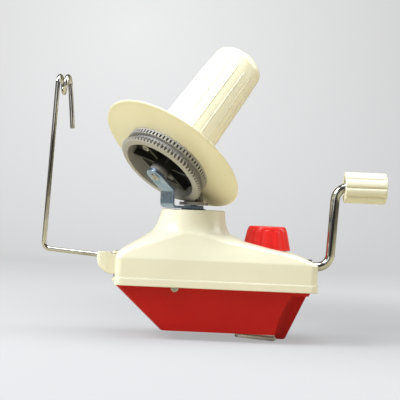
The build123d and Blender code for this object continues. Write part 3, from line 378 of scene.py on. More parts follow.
@dataclass(frozen=True)
class PlatedMetal:
    """Plated or polished steel with drawing lines, blotches and painted highlights on edges."""

    slot: Slot
    colour: str
    cast: str
    bright: str
    roughness: float = 0.3
    blotch_scale: float = 70.0
    spot_scale: float = 520.0
    line_scale: float = 2400.0
    line_stretch: Point = (1.0, 1.0, 0.06)
    line_depth: float = 0.2
    line_height: float = 0.00005
    edge: float = 0.0004

    def make(self, name: str) -> Material:
        """Builds the material.

        Args:
            name: Name of the material.

        Returns:
            The finished material.
        """
        bench = NodeBench(name)
        blotch = bench.noise(self.blotch_scale, 4.0)
        lines = bench.noise(self.line_scale, 2.0, self.line_stretch)
        spots = bench.noise(self.spot_scale, 3.0)
        normal, edge_mask = bench.edges(self.edge)
        colour = bench.tint(bench.ramp(blotch, 0.36, 0.66), srgb(self.colour), srgb(self.cast))
        # Painted highlight: edges are tinted towards a lighter colour.
        colour = bench.tint(bench.ramp(edge_mask, 0.0, 1.0, 0.0, 0.6), colour, srgb(self.bright))
        colour = bench.tint(bench.ramp(spots, 0.62, 0.78, 0.0, 0.3), colour, srgb(self.cast))
        rough = bench.ramp(blotch, 0.3, 0.7, self.roughness - 0.04, self.roughness + 0.07)
        rough = bench.math("ADD", rough, bench.ramp(spots, 0.4, 0.7, -0.02, 0.04))
        normal = bench.bump(lines, normal, self.line_depth, self.line_height)
        return bench.principled(Base_Color=colour, Roughness=rough, Normal=normal, Metallic=1.0)


FINISHES: dict[Look, MouldedPlastic | PlatedMetal] = {
    Look.CREAM_CASE: MouldedPlastic(
        Slot.CREAM, "E5E0CB", "E1DBC4", "F7F5E6", "D4BE82", roughness=0.2, corner_shade=0.25, edge=0.0012,
        specular=0.4),
    Look.CREAM_SPOOL: MouldedPlastic(
        Slot.CREAM, "EEE7CB", "EAE2C4", "F7F5E6", "D4BE82", roughness=0.17, corner_shade=0.12,
        wear_amount=0.2),
    Look.RED_CASE: MouldedPlastic(
        Slot.RED, "BE1818", "B41415", "D2423A", "961212", roughness=0.3, wear_amount=0.3, corner_shade=0.3,
        specular=0.15),
    Look.RED_KNOB: MouldedPlastic(
        Slot.RED, "EC2D2A", "E42624", "F25850", "960E0E", roughness=0.22, wear_amount=0.2,
        specular=0.3),
    Look.GREY_GEAR: MouldedPlastic(
        Slot.GREY, "D0C8BC", "C2BAAE", "E2DCD0", "565046", roughness=0.38, edge=0.0003, corner_shade=0.6),
    Look.GREY_CUP: MouldedPlastic(
        Slot.GREY, "B0ADAA", "A29F9C", "D0CDC8", "46423E", roughness=0.4, edge=0.0004, corner_shade=0.65,
        specular=0.35, cup=True),
    Look.BEARING: MouldedPlastic(
        Slot.BEARING, "2E2C2A", "262422", "605C56", "181614", roughness=0.35, edge=0.0003),
    Look.ZINC: PlatedMetal(Slot.ZINC, "A2B6D0", "7A93B8", "DEE8F0", line_depth=0.35),
    # Painted light: a much lighter copy of the zinc, so that the jaw in the shadow under the case
    # shows as a lit strip.
    Look.ZINC_JAW_PAINTED_LIGHT: PlatedMetal(Slot.ZINC, "ECEAE8", "D6D6D6", "FAFAF8", line_depth=0.35),
    Look.STEEL: PlatedMetal(Slot.STEEL, "BAB8B2", "A09E9A", "E2E0DC", roughness=0.26),
    Look.CHROME: PlatedMetal(
        Slot.CHROME, "C4C2BC", "AAA8A2", "E2E0DC", roughness=0.06, line_stretch=(1.0, 1.0, 0.3),
        line_depth=0.06),
}


@cache
def finish_of(look: Look) -> Material:
    """Material of a look, made once."""
    return FINISHES[look].make(look.value)


def install(name: str, mesh: Mesh, body: Body, look: Look, *nodes: str) -> bpy.types.Object:
    """Puts a finished mesh into the scene as one piece.

    Args:
        name: Name of the piece.
        mesh: Its mesh, in place.
        body: Body that it rides on.
        look: Look that it takes.
        *nodes: CAD nodes that it stands for.

    Returns:
        The new object.
    """
    mesh.name = name
    mesh.materials.clear()
    mesh.materials.append(finish_of(look))
    piece = placed(name, mesh)
    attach(piece, body.value)
    if nodes:
        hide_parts(*nodes)
    log.info("piece %s: %d faces", name, len(mesh.polygons))
    return piece


def skin(node: str, mesh: Mesh, body: Body, look: Look) -> bpy.types.Object:
    """Puts a mesh in as the skin of a CAD node."""
    return install(node + "_skin", mesh, body, look, node)


def settle(shape: bmesh.types.BMesh, sharp: float) -> Mesh:
    """Turns a bmesh into a mesh with smooth faces and sharp creases.

    Args:
        shape: Shape to finish; it is freed.
        sharp: Angle in degrees past which an edge is sharp.

    Returns:
        The finished mesh.
    """
    for face in shape.faces:
        face.smooth = True
    for edge in shape.edges:
        edge.smooth = len(edge.link_faces) == 2 and edge.calc_face_angle(0.0) < radians(sharp)
    mesh = bpy.data.meshes.new("settled")
    shape.to_mesh(mesh)
    shape.free()
    return mesh


def opened(*meshes: Mesh) -> bmesh.types.BMesh:
    """Opens meshes for editing.

    Args:
        *meshes: Meshes to join.

    Returns:
        A new bmesh with everything in them.
    """
    shape = bmesh.new()
    for mesh in meshes:
        shape.from_mesh(mesh)
    return shape


def smooth_copy(node: str, sharp: float = 32.0) -> Mesh:
    """Merged copy of a CAD node's mesh, smooth but for its creases.

    Args:
        node: Name of the node.
        sharp: Angle in degrees past which an edge is sharp.

    Returns:
        The copy.
    """
    shape = opened(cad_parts[node].data)
    bmesh.ops.remove_doubles(shape, verts=shape.verts, dist=0.00001)
    bmesh.ops.dissolve_degenerate(shape, edges=shape.edges, dist=0.000002)
    return settle(shape, sharp)


def arc(middle: tuple[float, float], radius: float, start: float, end: float,
        steps: int) -> Outline:
    """Points of an arc in a profile; 0 degrees is outwards and 90 is along the axis."""
    angles = [radians(start + (end - start) * i / steps) for i in range(steps + 1)]
    return [(middle[0] + radius * cos(a), middle[1] + radius * sin(a)) for a in angles]


def turned(profile: Outline, segments: int, where: Turning, ripple: Ripple | None = None,
           sharp: float = 40.0) -> Mesh:
    """Turns a profile about its axis.

    Args:
        profile: Closed outline as radius and height in millimetres; points at radius 0 close it.
        segments: Faces round the axis.
        where: Frame of the piece.
        ripple: Change of radius as a function of angle, radius and height.
        sharp: Angle in degrees past which an edge is sharp.

    Returns:
        The turned mesh in the row frame.
    """
    shape = bmesh.new()
    rings = []
    for radius, height in profile:
        if radius < 1e-6:
            rings.append([shape.verts.new((0.0, 0.0, height * MM))] * segments)
            continue
        ring = []
        for i in range(segments):
            angle = 2 * pi * i / segments
            r = radius + (ripple(angle, radius, height) if ripple else 0.0)
            ring.append(shape.verts.new((r * cos(angle) * MM, r * sin(angle) * MM, height * MM)))
        rings.append(ring)
    for first, second in zip(rings, rings[1:] + rings[:1]):
        for i in range(segments):
            k = (i + 1) % segments
            corners = list(dict.fromkeys([first[i], first[k], second[k], second[i]]))
            if len(corners) > 2:
                shape.faces.new(corners)
    bmesh.ops.recalc_face_normals(shape, faces=shape.faces)
    shape.transform(where.matrix())
    return settle(shape, sharp)


class Grower(NodeKit):
    """Geometry Nodes tree with named inputs."""

    def __init__(self, name: str, **inputs: str) -> None:
        """Starts a tree that also has a Geometry input and a Finish input.

        Args:
            name: Name of the tree.
            **inputs: Names of the inputs of each socket type, parted by commas.
        """
        super().__init__(bpy.data.node_groups.new(name, "GeometryNodeTree"))
        face = self.tree.interface
        face.new_socket("Geometry", in_out="INPUT", socket_type="NodeSocketGeometry")
        for kind, labels in {**inputs, "Material": "Finish"}.items():
            for label in labels.split(", "):
                face.new_socket(label, in_out="INPUT", socket_type="NodeSocket" + kind)
        face.new_socket("Geometry", in_out="OUTPUT", socket_type="NodeSocketGeometry")
        self.given = self.node("NodeGroupInput").outputs

    def vector(self, x: Value = 0.0, y: Value = 0.0, z: Value = 0.0) -> Socket:
        """Vector of three values, each a socket or a number."""
        return self.add("ShaderNodeCombineXYZ", {0: x, 1: y, 2: z})

    def moved(self, shape: Socket, x: Value = 0.0, y: Value = 0.0, z: Value = 0.0) -> Socket:
        """Shape moved by three values."""
        return self.add("GeometryNodeTransform", {
            "Geometry": shape, "Translation": self.vector(x, y, z)})

    def box(self, x: Value, y: Value, z: Value) -> Socket:
        """Box about the origin."""
        return self.add("GeometryNodeMeshCube", {"Size": self.vector(x, y, z)})

    def cut(self, shape: Socket, tool: Socket) -> Socket:
        """Shape with a tool cut out of it."""
        return self.add("GeometryNodeMeshBoolean", {"Mesh 1": shape, "Mesh 2": tool},
                        operation="DIFFERENCE", solver="EXACT")

    def tube(self, curve: Socket, radius: Socket, sides: Value, girth: Value = 1.0) -> Socket:
        """Round tube along a curve, its ends closed; girth scales its radius at each point."""
        ring = self.add("GeometryNodeCurvePrimitiveCircle", {"Radius": radius, "Resolution": sides})
        return self.add("GeometryNodeCurveToMesh", {
            "Curve": curve, "Profile Curve": ring, "Scale": girth, "Fill Caps": True})

    def ringed(self, shape: Socket) -> Socket:
        """Sets as many copies of a shape round the Z axis as Count says.

        Args:
            shape: Shape to copy.

        Returns:
            The copies.
        """
        points = self.add("GeometryNodePoints", {"Count": self.given["Count"]})
        index = self.add("GeometryNodeInputIndex")
        step = self.math("DIVIDE", 2 * pi, self.given["Count"])
        return self.add("GeometryNodeInstanceOnPoints", {
            "Points": points, "Instance": shape,
            "Rotation": self.vector(z=self.math("MULTIPLY", index, step))})

    def close(self, geometry: Socket) -> "Grower":
        """Ends the tree in Realize Instances and Set Material.

        Args:
            geometry: What the tree has made.

        Returns:
            The tree itself.
        """
        real = self.add("GeometryNodeRealizeInstances", {"Geometry": geometry})
        dress = self.add("GeometryNodeSetMaterial", {
            "Geometry": real, "Material": self.given["Finish"]})
        self.node("NodeGroupOutput", {"Geometry": dress})
        return self

    def grow(self, seed: bpy.types.ID, look: Look, **values: float) -> Mesh:
        """Runs the tree on a mesh or curve and bakes the result.

        Args:
            seed: Mesh or curve to start from.
            look: Look of the result.
            **values: Value of each input, with _ for the spaces in its name.

        Returns:
            The baked mesh.
        """
        holder = placed("seed", seed)
        modifier = holder.modifiers.new("grow", "NODES")
        modifier.node_group = self.tree
        named = {label.replace("_", " "): value for label, value in values.items()}
        named["Finish"] = finish_of(look)
        for item in self.tree.interface.items_tree:
            if item.in_out == "INPUT" and item.name in named:
                modifier[item.identifier] = named[item.name]
        graph = bpy.context.evaluated_depsgraph_get()
        mesh = bpy.data.meshes.new_from_object(
            holder.evaluated_get(graph), preserve_all_data_layers=True, depsgraph=graph)
        bpy.data.objects.remove(holder)
        return mesh


SCREW_SIDES = 28
SCREW_SHARP = 35.0
CROSS_SHARES = (1.25, 0.26)
RIDGE_POINTS = 24
RIDGE_SIDES = 10
RIDGE_TAPER = 0.12
RIDGE_LEAST = 0.2


@cache
def screw_tree() -> Grower:
    """Tree that sets a cross-head screw on each point, its head towards -Z.

    Returns:
        The tree.
    """
    grower = Grower("cross_head_screws",
                    Float="Head Radius, Head Height, Shank Radius, Shank Length, Recess")
    given = grower.given
    parts = []
    for radius, length, side in (("Head Radius", "Head Height", -0.5),
                                 ("Shank Radius", "Shank Length", 0.5)):
        rod = grower.add("GeometryNodeMeshCylinder", {
            "Vertices": SCREW_SIDES, "Radius": given[radius], "Depth": given[length]})
        lift = grower.math("MULTIPLY", given[length], side)
        parts.append(grower.moved(rod, z=lift))
    head, shank = parts
    long_side, short_side = (grower.math("MULTIPLY", given["Head Radius"], share)
                             for share in CROSS_SHARES)
    deep = grower.math("MULTIPLY", given["Recess"], 2.0)
    drop = grower.math("MULTIPLY", given["Head Height"], -1.0)
    for sides in ((long_side, short_side), (short_side, long_side)):
        head = grower.cut(head, grower.moved(grower.box(*sides, deep), z=drop))
    whole = grower.node("GeometryNodeJoinGeometry")
    for part in (head, shank):
        grower.feed(whole.inputs[0], part)
    return grower.close(grower.add("GeometryNodeInstanceOnPoints", {
        "Points": given["Geometry"], "Instance": whole.outputs[0]}))


def ridge_tree() -> Grower:
    """Tree that sets half-round ridges round the Z axis, on a cone.

    Returns:
        The tree.
    """
    grower = Grower("core_ridges", Int="Count",
                    Float="Foot Radius, Head Radius, Foot Height, Head Height, Thickness")
    given = grower.given
    line = grower.add("GeometryNodeCurvePrimitiveLine", {
        "Start": grower.vector(given["Foot Radius"], 0.0, given["Foot Height"]),
        "End": grower.vector(given["Head Radius"], 0.0, given["Head Height"])})
    steps = grower.add("GeometryNodeResampleCurve", {"Curve": line, "Count": RIDGE_POINTS})
    along = grower.add("GeometryNodeSplineParameter")
    rise = grower.math("MULTIPLY", along, grower.math("SUBTRACT", 1.0, along))
    girth = grower.math("POWER", grower.math("MULTIPLY", rise, 4.0), RIDGE_TAPER)
    girth = grower.math("MAXIMUM", girth, RIDGE_LEAST)
    bar = grower.tube(steps, given["Thickness"], RIDGE_SIDES, girth)
    return grower.close(grower.ringed(bar))


def slot_tree() -> Grower:
    """Tree that cuts upright slots into a rim round the Z axis.

    Returns:
        The tree.
    """
    grower = Grower("rim_slots", Int="Count", Float="Radius, Height, Width, Length, Depth")
    given = grower.given
    deep = grower.math("MULTIPLY", given["Depth"], 2.0)
    bar = grower.moved(grower.box(deep, given["Width"], given["Length"]), given["Radius"], 0.0,
                       given["Height"])
    real = grower.add("GeometryNodeRealizeInstances", {"Geometry": grower.ringed(bar)})
    return grower.close(grower.cut(given["Geometry"], real))


@cache
def rod_tree() -> Grower:
    """Tree that makes a round rod along a curve.

    Returns:
        The tree.
    """
    grower = Grower("bent_rod", Float="Radius", Int="Sides")
    given = grower.given
    return grower.close(grower.tube(given["Geometry"], given["Radius"], given["Sides"]))


def bent_path(corners: list[Point], bends: list[float], step: float) -> list[Vector]:
    """Line through corners with a round bend at each inner one.

    Args:
        corners: Corners in millimetres.
        bends: Bend radius at each inner corner.
        step: Largest turn between two points, in degrees.

    Returns:
        Points of the line in metres.
    """
    places = [Vector(c) for c in corners]
    line = [places[0]]
    for before, here, after, radius in zip(places, places[1:], places[2:], bends):
        back, ahead = (before - here).normalized(), (after - here).normalized()
        turn = pi - back.angle(ahead)
        reach = radius * tan(turn / 2)
        middle = here + (back + ahead).normalized() * (radius / cos(turn / 2))
        start, end = here + back * reach - middle, here + ahead * reach - middle
        count = max(3, int(turn / radians(step)) + 1)
        for i in range(count + 1):
            share = i / count
            off = (start * sin((1 - share) * turn) + end * sin(share * turn)) / sin(turn)
            line.append(middle + off)
    line.append(places[-1])
    return [point * MM for point in line]


def bent_rod(line: list[Vector], radius: float) -> Mesh:
    """Round rod along a line.

    Args:
        line: Points in metres.
        radius: Radius of the rod in millimetres.

    Returns:
        The rod's mesh.
    """
    curve = bpy.data.curves.new("rod_line", "CURVE")
    curve.dimensions = "3D"
    spline = curve.splines.new("POLY")
    spline.points.add(len(line) - 1)
    for point, place in zip(spline.points, line):
        point.co = (*place, 1.0)
    shape = opened(rod_tree().grow(curve, Look.CHROME, Radius=radius * MM, Sides=24))
    bmesh.ops.recalc_face_normals(shape, faces=shape.faces)
    return settle(shape, 50.0)


@dataclass(frozen=True)
class ScrewSet:
    """Cross-head screws of one size; a place is where shank and head meet, in millimetres."""

    name: str
    places: tuple[Point, ...]
    length: float
    head_radius: float = 3.0
    head_height: float = 2.0
    shank_radius: float = 1.5
    recess: float = 1.1

    def grow(self) -> bmesh.types.BMesh:
        """Makes the screws.

        Returns:
            The screws, their heads towards -Z.
        """
        seed = bpy.data.meshes.new(self.name)
        seed.from_pydata([scaled(place) for place in self.places], [], [])
        return opened(screw_tree().grow(
            seed, Look.STEEL, Head_Radius=self.head_radius * MM, Head_Height=self.head_height * MM,
            Shank_Radius=self.shank_radius * MM, Shank_Length=self.length * MM,
            Recess=self.recess * MM))


@dataclass
class Housing:
    """Upper and lower case with their screws."""

    sharp: float = 28.0
    case_screws: ScrewSet = ScrewSet(
        "case_screws", ((-38, 20, 28), (-38, -20, 28), (26, 22, 28), (26, -22, 28)), 18.0)
    frame_screws: ScrewSet = ScrewSet("frame_screws", ((-22.5, 8, 2.3), (-22.5, -8, 2.3)), 12.0)
    seam_screw: ScrewSet = ScrewSet("seam_screw", ((0, 0, 0),), 1.4, 3.0, 1.6, 1.2, 1.0)
    seam_screw_place: Point = (-34.6, -35.2, 35.0)
    seam: float = 35.45

    def build(self) -> None:
        """Builds the housing."""
        for node, look in (("upper_case", Look.CREAM_CASE), ("lower_case", Look.RED_CASE)):
            half = skin(node, smooth_copy(node, self.sharp), Body.CASE, look)
            half.modifiers.new("even_normals", "WEIGHTED_NORMAL").keep_sharp = True
        for group in (self.case_screws, self.frame_screws):
            skin(group.name, settle(group.grow(), SCREW_SHARP), Body.CASE, Look.STEEL)
        self.build_seam_screw()

    def build_seam_screw(self) -> None:
        """Builds the small screw whose lower half shows below the seam."""
        shape = self.seam_screw.grow()
        shape.transform(Matrix.Translation(scaled(self.seam_screw_place))
                        @ Matrix.Rotation(-pi / 2, 4, "X"))
        cut = bmesh.ops.bisect_plane(
            shape, geom=[*shape.verts, *shape.edges, *shape.faces], dist=1e-7,
            plane_co=(0, 0, self.seam * MM), plane_no=(0, 0, 1), clear_outer=True)
        rim = [e for e in cut["geom_cut"] if isinstance(e, bmesh.types.BMEdge)]
        bmesh.ops.holes_fill(shape, edges=rim)
        install("seam_screw", settle(shape, SCREW_SHARP), Body.CASE, Look.STEEL)


@dataclass
class Crank:
    """Bent rod with its fluted grip."""

    rod_radius: float = 3.8
    corners: tuple[Point, ...] = (
        (-31.5, 0, 55.0), (91.4, 0, 55.0), (94.4, 0, 121.5), (131.0, 0, 121.5))
    bend: float = 11.0
    grip_start: float = 101.0
    grip_end: float = 135.6
    grip_radius: float = 12.8
    bore: float = 3.9
    mouth: float = 8.5
    mouth_depth: float = 6.0
    foot_flat: float = 10.4
    foot_round: float = 0.9
    head_round: float = 2.0
    seat: float = 6.45
    seat_depth: float = 7.6
    staves: int = 10
    groove_width: float = 0.95
    groove_depth: float = 1.1
    groove_start: float = 10.2
    groove_lead: float = 1.6
    groove_fade: float = 1.2
    groove_stop: float = 0.5
    falloff: float = 2.718
    crown: float = 0.22
    lip: float = 0.3
    seat_lip: float = 0.25
    rows: int = 14

    def stave(self, angle: float, radius: float, height: float) -> float:
        """Groove between two staves of the grip.

        Args:
            angle: Angle round the grip.
            radius: Radius there.
            height: Distance along the crank's axis.

        Returns:
            The change of radius.
        """
        if radius < self.groove_start:
            return 0.0
        pitch = 2 * pi / self.staves
        off = ((angle + pitch) % pitch - pitch / 2) * radius
        depth = self.groove_depth * self.falloff ** (-((off / self.groove_width) ** 2))
        crown = self.crown * (off / (pitch * radius / 2)) ** 2
        stop = self.grip_end - self.groove_stop
        fade = min(1.0, max(0.0, (stop - height) / self.groove_fade))
        lead = min(1.0, max(0.0, (radius - self.groove_start) / self.groove_lead))
        return -(depth + self.crown - crown) * fade * lead

    def build(self) -> None:
        """Builds the rod and the grip."""
        line = bent_path(list(self.corners), [self.bend] * 2, 5.0)
        install("crank_rod", bent_rod(line, self.rod_radius), Body.CRANK, Look.CHROME, "crank_arm")
        start, end, outer = self.grip_start, self.grip_end, self.grip_radius
        low, high = self.foot_round, self.head_round
        profile = [(self.bore, start + self.mouth_depth), (self.mouth, start + self.mouth_depth),
                   (self.mouth, start + self.lip), (self.mouth + self.lip, start),
                   (self.foot_flat, start)]
        profile += arc((outer - low, start + low), low, -90, 0, 5)
        side = end - high - low - start
        profile += [(outer, start + low + side * i / self.rows) for i in range(1, self.rows)]
        profile += arc((outer - high, end - high), high, 0, 90, 8)
        profile += [(self.seat + self.seat_lip, end), (self.seat, end - self.seat_lip),
                    (self.seat, end - self.seat_depth), (self.bore, end - self.seat_depth)]
        skin("crank_grip", turned(profile, 240, GRIP_FRAME, self.stave), Body.GRIP, Look.CREAM_CASE)


@dataclass
class ClampKnob:
    """Fluted knob of the table clamp."""

    foot: float = 67.0
    height: float = 19.4
    foot_radius: float = 20.0
    head_radius: float = 16.0
    bore: float = 4.0
    hub: float = 7.5
    wall: float = 2.6
    cap: float = 3.0
    cap_inset: float = 0.5
    cap_round: float = 1.3
    flutes: int = 14
    flute_radius: float = 4.2
    flute_depth: float = 0.7
    flute_start: float = 15.4
    flute_lead: float = 1.2
    rise: float = 2.0
    last_gap: float = 0.6
    edge: float = 0.4
    edge_draft: float = 0.05
    rim: float = 0.25
    rim_lift: float = 0.02
    cap_flare: float = 0.35
    cap_drop: float = 0.3
    cap_ring: float = 6.0

    def flute(self, angle: float, radius: float, height: float) -> float:
        """Hollow of a flute.

        Args:
            angle: Angle round the knob.
            radius: Radius there.
            height: Height above the table face.

        Returns:
            The change of radius.
        """
        cap_foot = self.foot + self.height - self.cap
        if radius < self.flute_start or height > cap_foot + 0.01:
            return 0.0
        pitch = 2 * pi / self.flutes
        off = ((angle + pitch / 2) % pitch - pitch / 2) * radius
        rise = self.flute_radius - self.flute_depth
        inside = self.flute_radius ** 2 - off ** 2
        depth = sqrt(inside) - rise if inside > rise ** 2 else 0.0
        return -depth * min(1.0, (radius - self.flute_start) / self.flute_lead)

    def build(self) -> None:
        """Builds the knob."""
        foot, head, wall = self.foot, self.foot + self.height, self.wall
        slope = (self.foot_radius - self.head_radius) / self.height
        cap_foot = head - self.cap
        cap_radius = self.head_radius + slope * self.cap
        profile = [(self.bore, foot), (self.hub, foot), (self.hub, cap_foot - wall),
                   (cap_radius - wall, cap_foot - wall), (self.foot_radius - wall, foot),
                   (self.foot_radius - self.edge, foot),
                   (self.foot_radius - self.edge_draft, foot + self.edge)]
        rises = [self.rise * i for i in range(1, 8)] + [self.height - self.cap - self.last_gap]
        profile += [(self.foot_radius - slope * rise, foot + rise) for rise in rises]
        profile += [(cap_radius + self.rim_lift, cap_foot - self.rim),
                    (cap_radius - self.rim, cap_foot),
                    (cap_radius - 2 * self.rim, cap_foot + self.rim_lift)]
        top, bend = self.head_radius - self.cap_inset, self.cap_round
        profile += [(top + self.cap_flare, head - bend - self.cap_drop)]
        profile += arc((top - bend, head - bend), bend, 5, 90, 7)
        profile += [(self.cap_ring, head), (0.0, head), (0.0, cap_foot), (self.bore, cap_foot)]
        skin("clamp_knob", turned(profile, 252, KNOB_FRAME, self.flute, 30.0), Body.KNOB,
             Look.RED_KNOB)


@dataclass
class Spool:
    """Flange, ridged core, cup gear and axle of the tilted spool."""

    flange_foot: float = 17.4
    flange_thickness: float = 2.0
    flange_rise: float = 4.2
    flange_flat: float = 38.0
    flange_radius: float = 62.8
    flange_bore: float = 8.3
    flange_hub: float = 20.0
    flange_step: float = 34.0
    dish_lead: float = 1.5
    dish: float = 0.93
    bead: float = 1.5
    core_foot_radius: float = 25.0
    core_head_radius: float = 21.9
    core_length: float = 112.0
    dome: float = 9.0
    crown: float = 2.0
    wall: float = 2.2
    ridges: int = 18
    ridge_start: float = 3.0
    ridge_end: float = 17.0
    ridge_thickness: float = 0.45
    ridge_sink: float = 0.15
    slots: int = 72
    slot_radius: float = 37.0
    slot_height: float = 14.4
    slot_width: float = 1.5
    slot_length: float = 3.0
    slot_depth: float = 1.7
    screw_circle: float = 20.0
    screw_foot: float = 15.0
    axle: tuple[tuple[float, float], ...] = (
        (0.0, -2.3), (0.9, -2.3), (1.25, -3.1), (1.9, -3.4), (2.8, -3.25), (3.5, -2.7),
        (3.8, -2.0), (3.0, -2.0), (3.0, 46.35), (2.4, 46.35), (2.4, 47.15), (3.0, 47.15),
        (3.0, 49.0), (0.0, 49.0))

    def build_flange(self) -> None:
        """Builds the dished flange."""
        foot, head = self.flange_foot, self.flange_foot + self.flange_thickness
        edge = self.flange_radius - 2 * self.bead
        run = edge - self.flange_flat
        lead = self.flange_flat - self.dish_lead
        radii = [lead + (run + self.dish_lead) * i / 16 for i in range(17)]
        shares = [min(1.0, max(0.0, (r - self.flange_flat) / run)) for r in radii]
        dish = [(r, self.flange_rise * share ** self.dish) for r, share in zip(radii, shares)]
        half = self.flange_thickness / 2
        middle = foot + self.flange_rise + half
        rim = [(edge + 2 * self.bead * cos(radians(a)), middle + half * sin(radians(a)))
               for a in range(-75, 90, 15)]
        profile = [(self.flange_bore, foot), (self.flange_hub, foot), (self.flange_step, foot)]
        profile += [(r, foot + lift) for r, lift in dish] + rim
        profile += [(r, head + lift) for r, lift in reversed(dish)]
        profile += [(self.flange_step, head), (self.flange_bore, head)]
        skin("spool_flange", turned(profile, 192, SPOOL_FRAME), Body.SPOOL, Look.CREAM_SPOOL)

    def core_profile(self, foot: float, head: float) -> Outline:
        """Outline of the core.

        Args:
            foot: Height where the core starts.
            head: Height where its domed top's edge ends.

        Returns:
            The outline.
        """
        wide, narrow = self.core_foot_radius, self.core_head_radius
        rim = narrow - self.dome
        profile = [(wide - self.wall, foot)]
        profile += [(wide + (narrow - wide) * i / 10, foot + (self.core_length - self.dome) * i / 10)
                    for i in range(11)]
        profile += arc((rim, head - self.dome), self.dome, 6, 90, 12)
        shares = [1 - i / 6 for i in range(1, 7)]
        profile += [(rim * share, head + self.crown * (1 - share ** 2)) for share in shares]
        return profile + [(0.0, head - self.wall), (rim, head - self.wall),
                          (narrow - self.wall, head - self.dome)]

    def build_core(self) -> None:
        """Builds the core and its ridges as one piece."""
        foot = self.flange_foot + self.flange_thickness
        head = foot + self.core_length
        slope = (self.core_foot_radius - self.core_head_radius) / self.core_length
        ridges = ridge_tree().grow(
            bpy.data.meshes.new("core_ridges"), Look.CREAM_SPOOL, Count=self.ridges,
            Foot_Radius=(self.core_foot_radius - slope * self.ridge_start - self.ridge_sink) * MM,
            Head_Radius=(self.core_head_radius + slope * self.ridge_end - self.ridge_sink) * MM,
            Foot_Height=(foot + self.ridge_start) * MM, Head_Height=(head - self.ridge_end) * MM,
            Thickness=self.ridge_thickness * MM)
        ridges.transform(SPOOL_FRAME.matrix())
        body = turned(self.core_profile(foot, head), 144, SPOOL_FRAME)
        skin("spool_core", settle(opened(body, ridges), 40.0), Body.SPOOL, Look.CREAM_SPOOL)

    def build_gear(self) -> None:
        """Builds the cup gear, whose rim has a ring of slots."""
        cup = smooth_copy("ring_gear", 30.0)
        cup.transform(SPOOL_FRAME.matrix().inverted())
        shape = opened(slot_tree().grow(
            cup, Look.GREY_CUP, Count=self.slots, Radius=self.slot_radius * MM,
            Height=self.slot_height * MM, Width=self.slot_width * MM, Length=self.slot_length * MM,
            Depth=self.slot_depth * MM))
        shape.transform(SPOOL_FRAME.matrix())
        skin("ring_gear", settle(shape, 30.0), Body.SPOOL, Look.GREY_CUP)

    def build_screws(self) -> None:
        """Builds the screws that join the core, the flange and the gear."""
        turns = [radians(30 + 120 * i) for i in range(3)]
        places = tuple((self.screw_circle * cos(a), self.screw_circle * sin(a), self.screw_foot)
                       for a in turns)
        shape = ScrewSet("spool_screws", places, 12.0).grow()
        shape.transform(SPOOL_FRAME.matrix())
        skin("spool_screws", settle(shape, SCREW_SHARP), Body.SPOOL, Look.STEEL)

    def build(self) -> None:
        """Builds the spool."""
        self.build_flange()
        self.build_core()
        self.build_gear()
        skin("spool_axle", turned(list(self.axle), 48, SPOOL_FRAME), Body.ROTOR, Look.STEEL)
        self.build_screws()


@dataclass
class YarnGuide:
    """Wire arm with a pigtail eye."""

    radius: float = 1.9
    bend: float = 5.0
    eye: float = 6.8
    eye_height: float = 196.3
    eye_x: float = -137.8
    eye_flat: float = 0.15
    pitch: float = 6.4
    foot: Point = (-89.5, 0.0, 56.5)
    elbow: Point = (-144.8, 0.0, 60.9)
    tip: Point = (-125.7, 5.0, 160.8)

    def build(self) -> None:
        """Builds the wire."""
        x, e = self.eye_x, self.eye
        top, bottom = self.eye_height + e, self.eye_height - e
        turns = ((0.0, -e, top), (0.25, e, top), (0.55, e, bottom), (0.85, -e, bottom),
                 (1.05, -e, top), (1.25, e, top))
        coil = [(x + share * self.pitch, y, z) for share, y, z in turns]
        bends = [self.bend] + [e - self.eye_flat] * 6
        line = bent_path([self.foot, self.elbow, *coil, self.tip], bends, 6.0)
        skin("guide_wire", bent_rod(line, self.radius), Body.GUIDE, Look.CHROME)


@dataclass(frozen=True)
class SoftBox:
    """Soft area lamp that faces the winder; place and sides in metres, power in watts."""

    name: str
    place: Point
    sides: tuple[float, float]
    power: float
    colour: Point = (1.0, 1.0, 1.0)
    target: Point = (0.0, 0.0, 0.09)

    def build(self) -> None:
        """Adds the lamp."""
        data = bpy.data.lights.new(self.name, "AREA")
        data.shape = "RECTANGLE"
        data.size, data.size_y = self.sides
        data.energy = self.power
        data.color = self.colour
        lamp = placed(self.name, data)
        aim = Vector(self.target) - Vector(self.place)
        turn = aim.to_track_quat("-Z", "Y").to_matrix().to_4x4()
        lamp.matrix_world = Matrix.Translation(self.place) @ turn


COOL = (0.93, 0.98, 1.0)


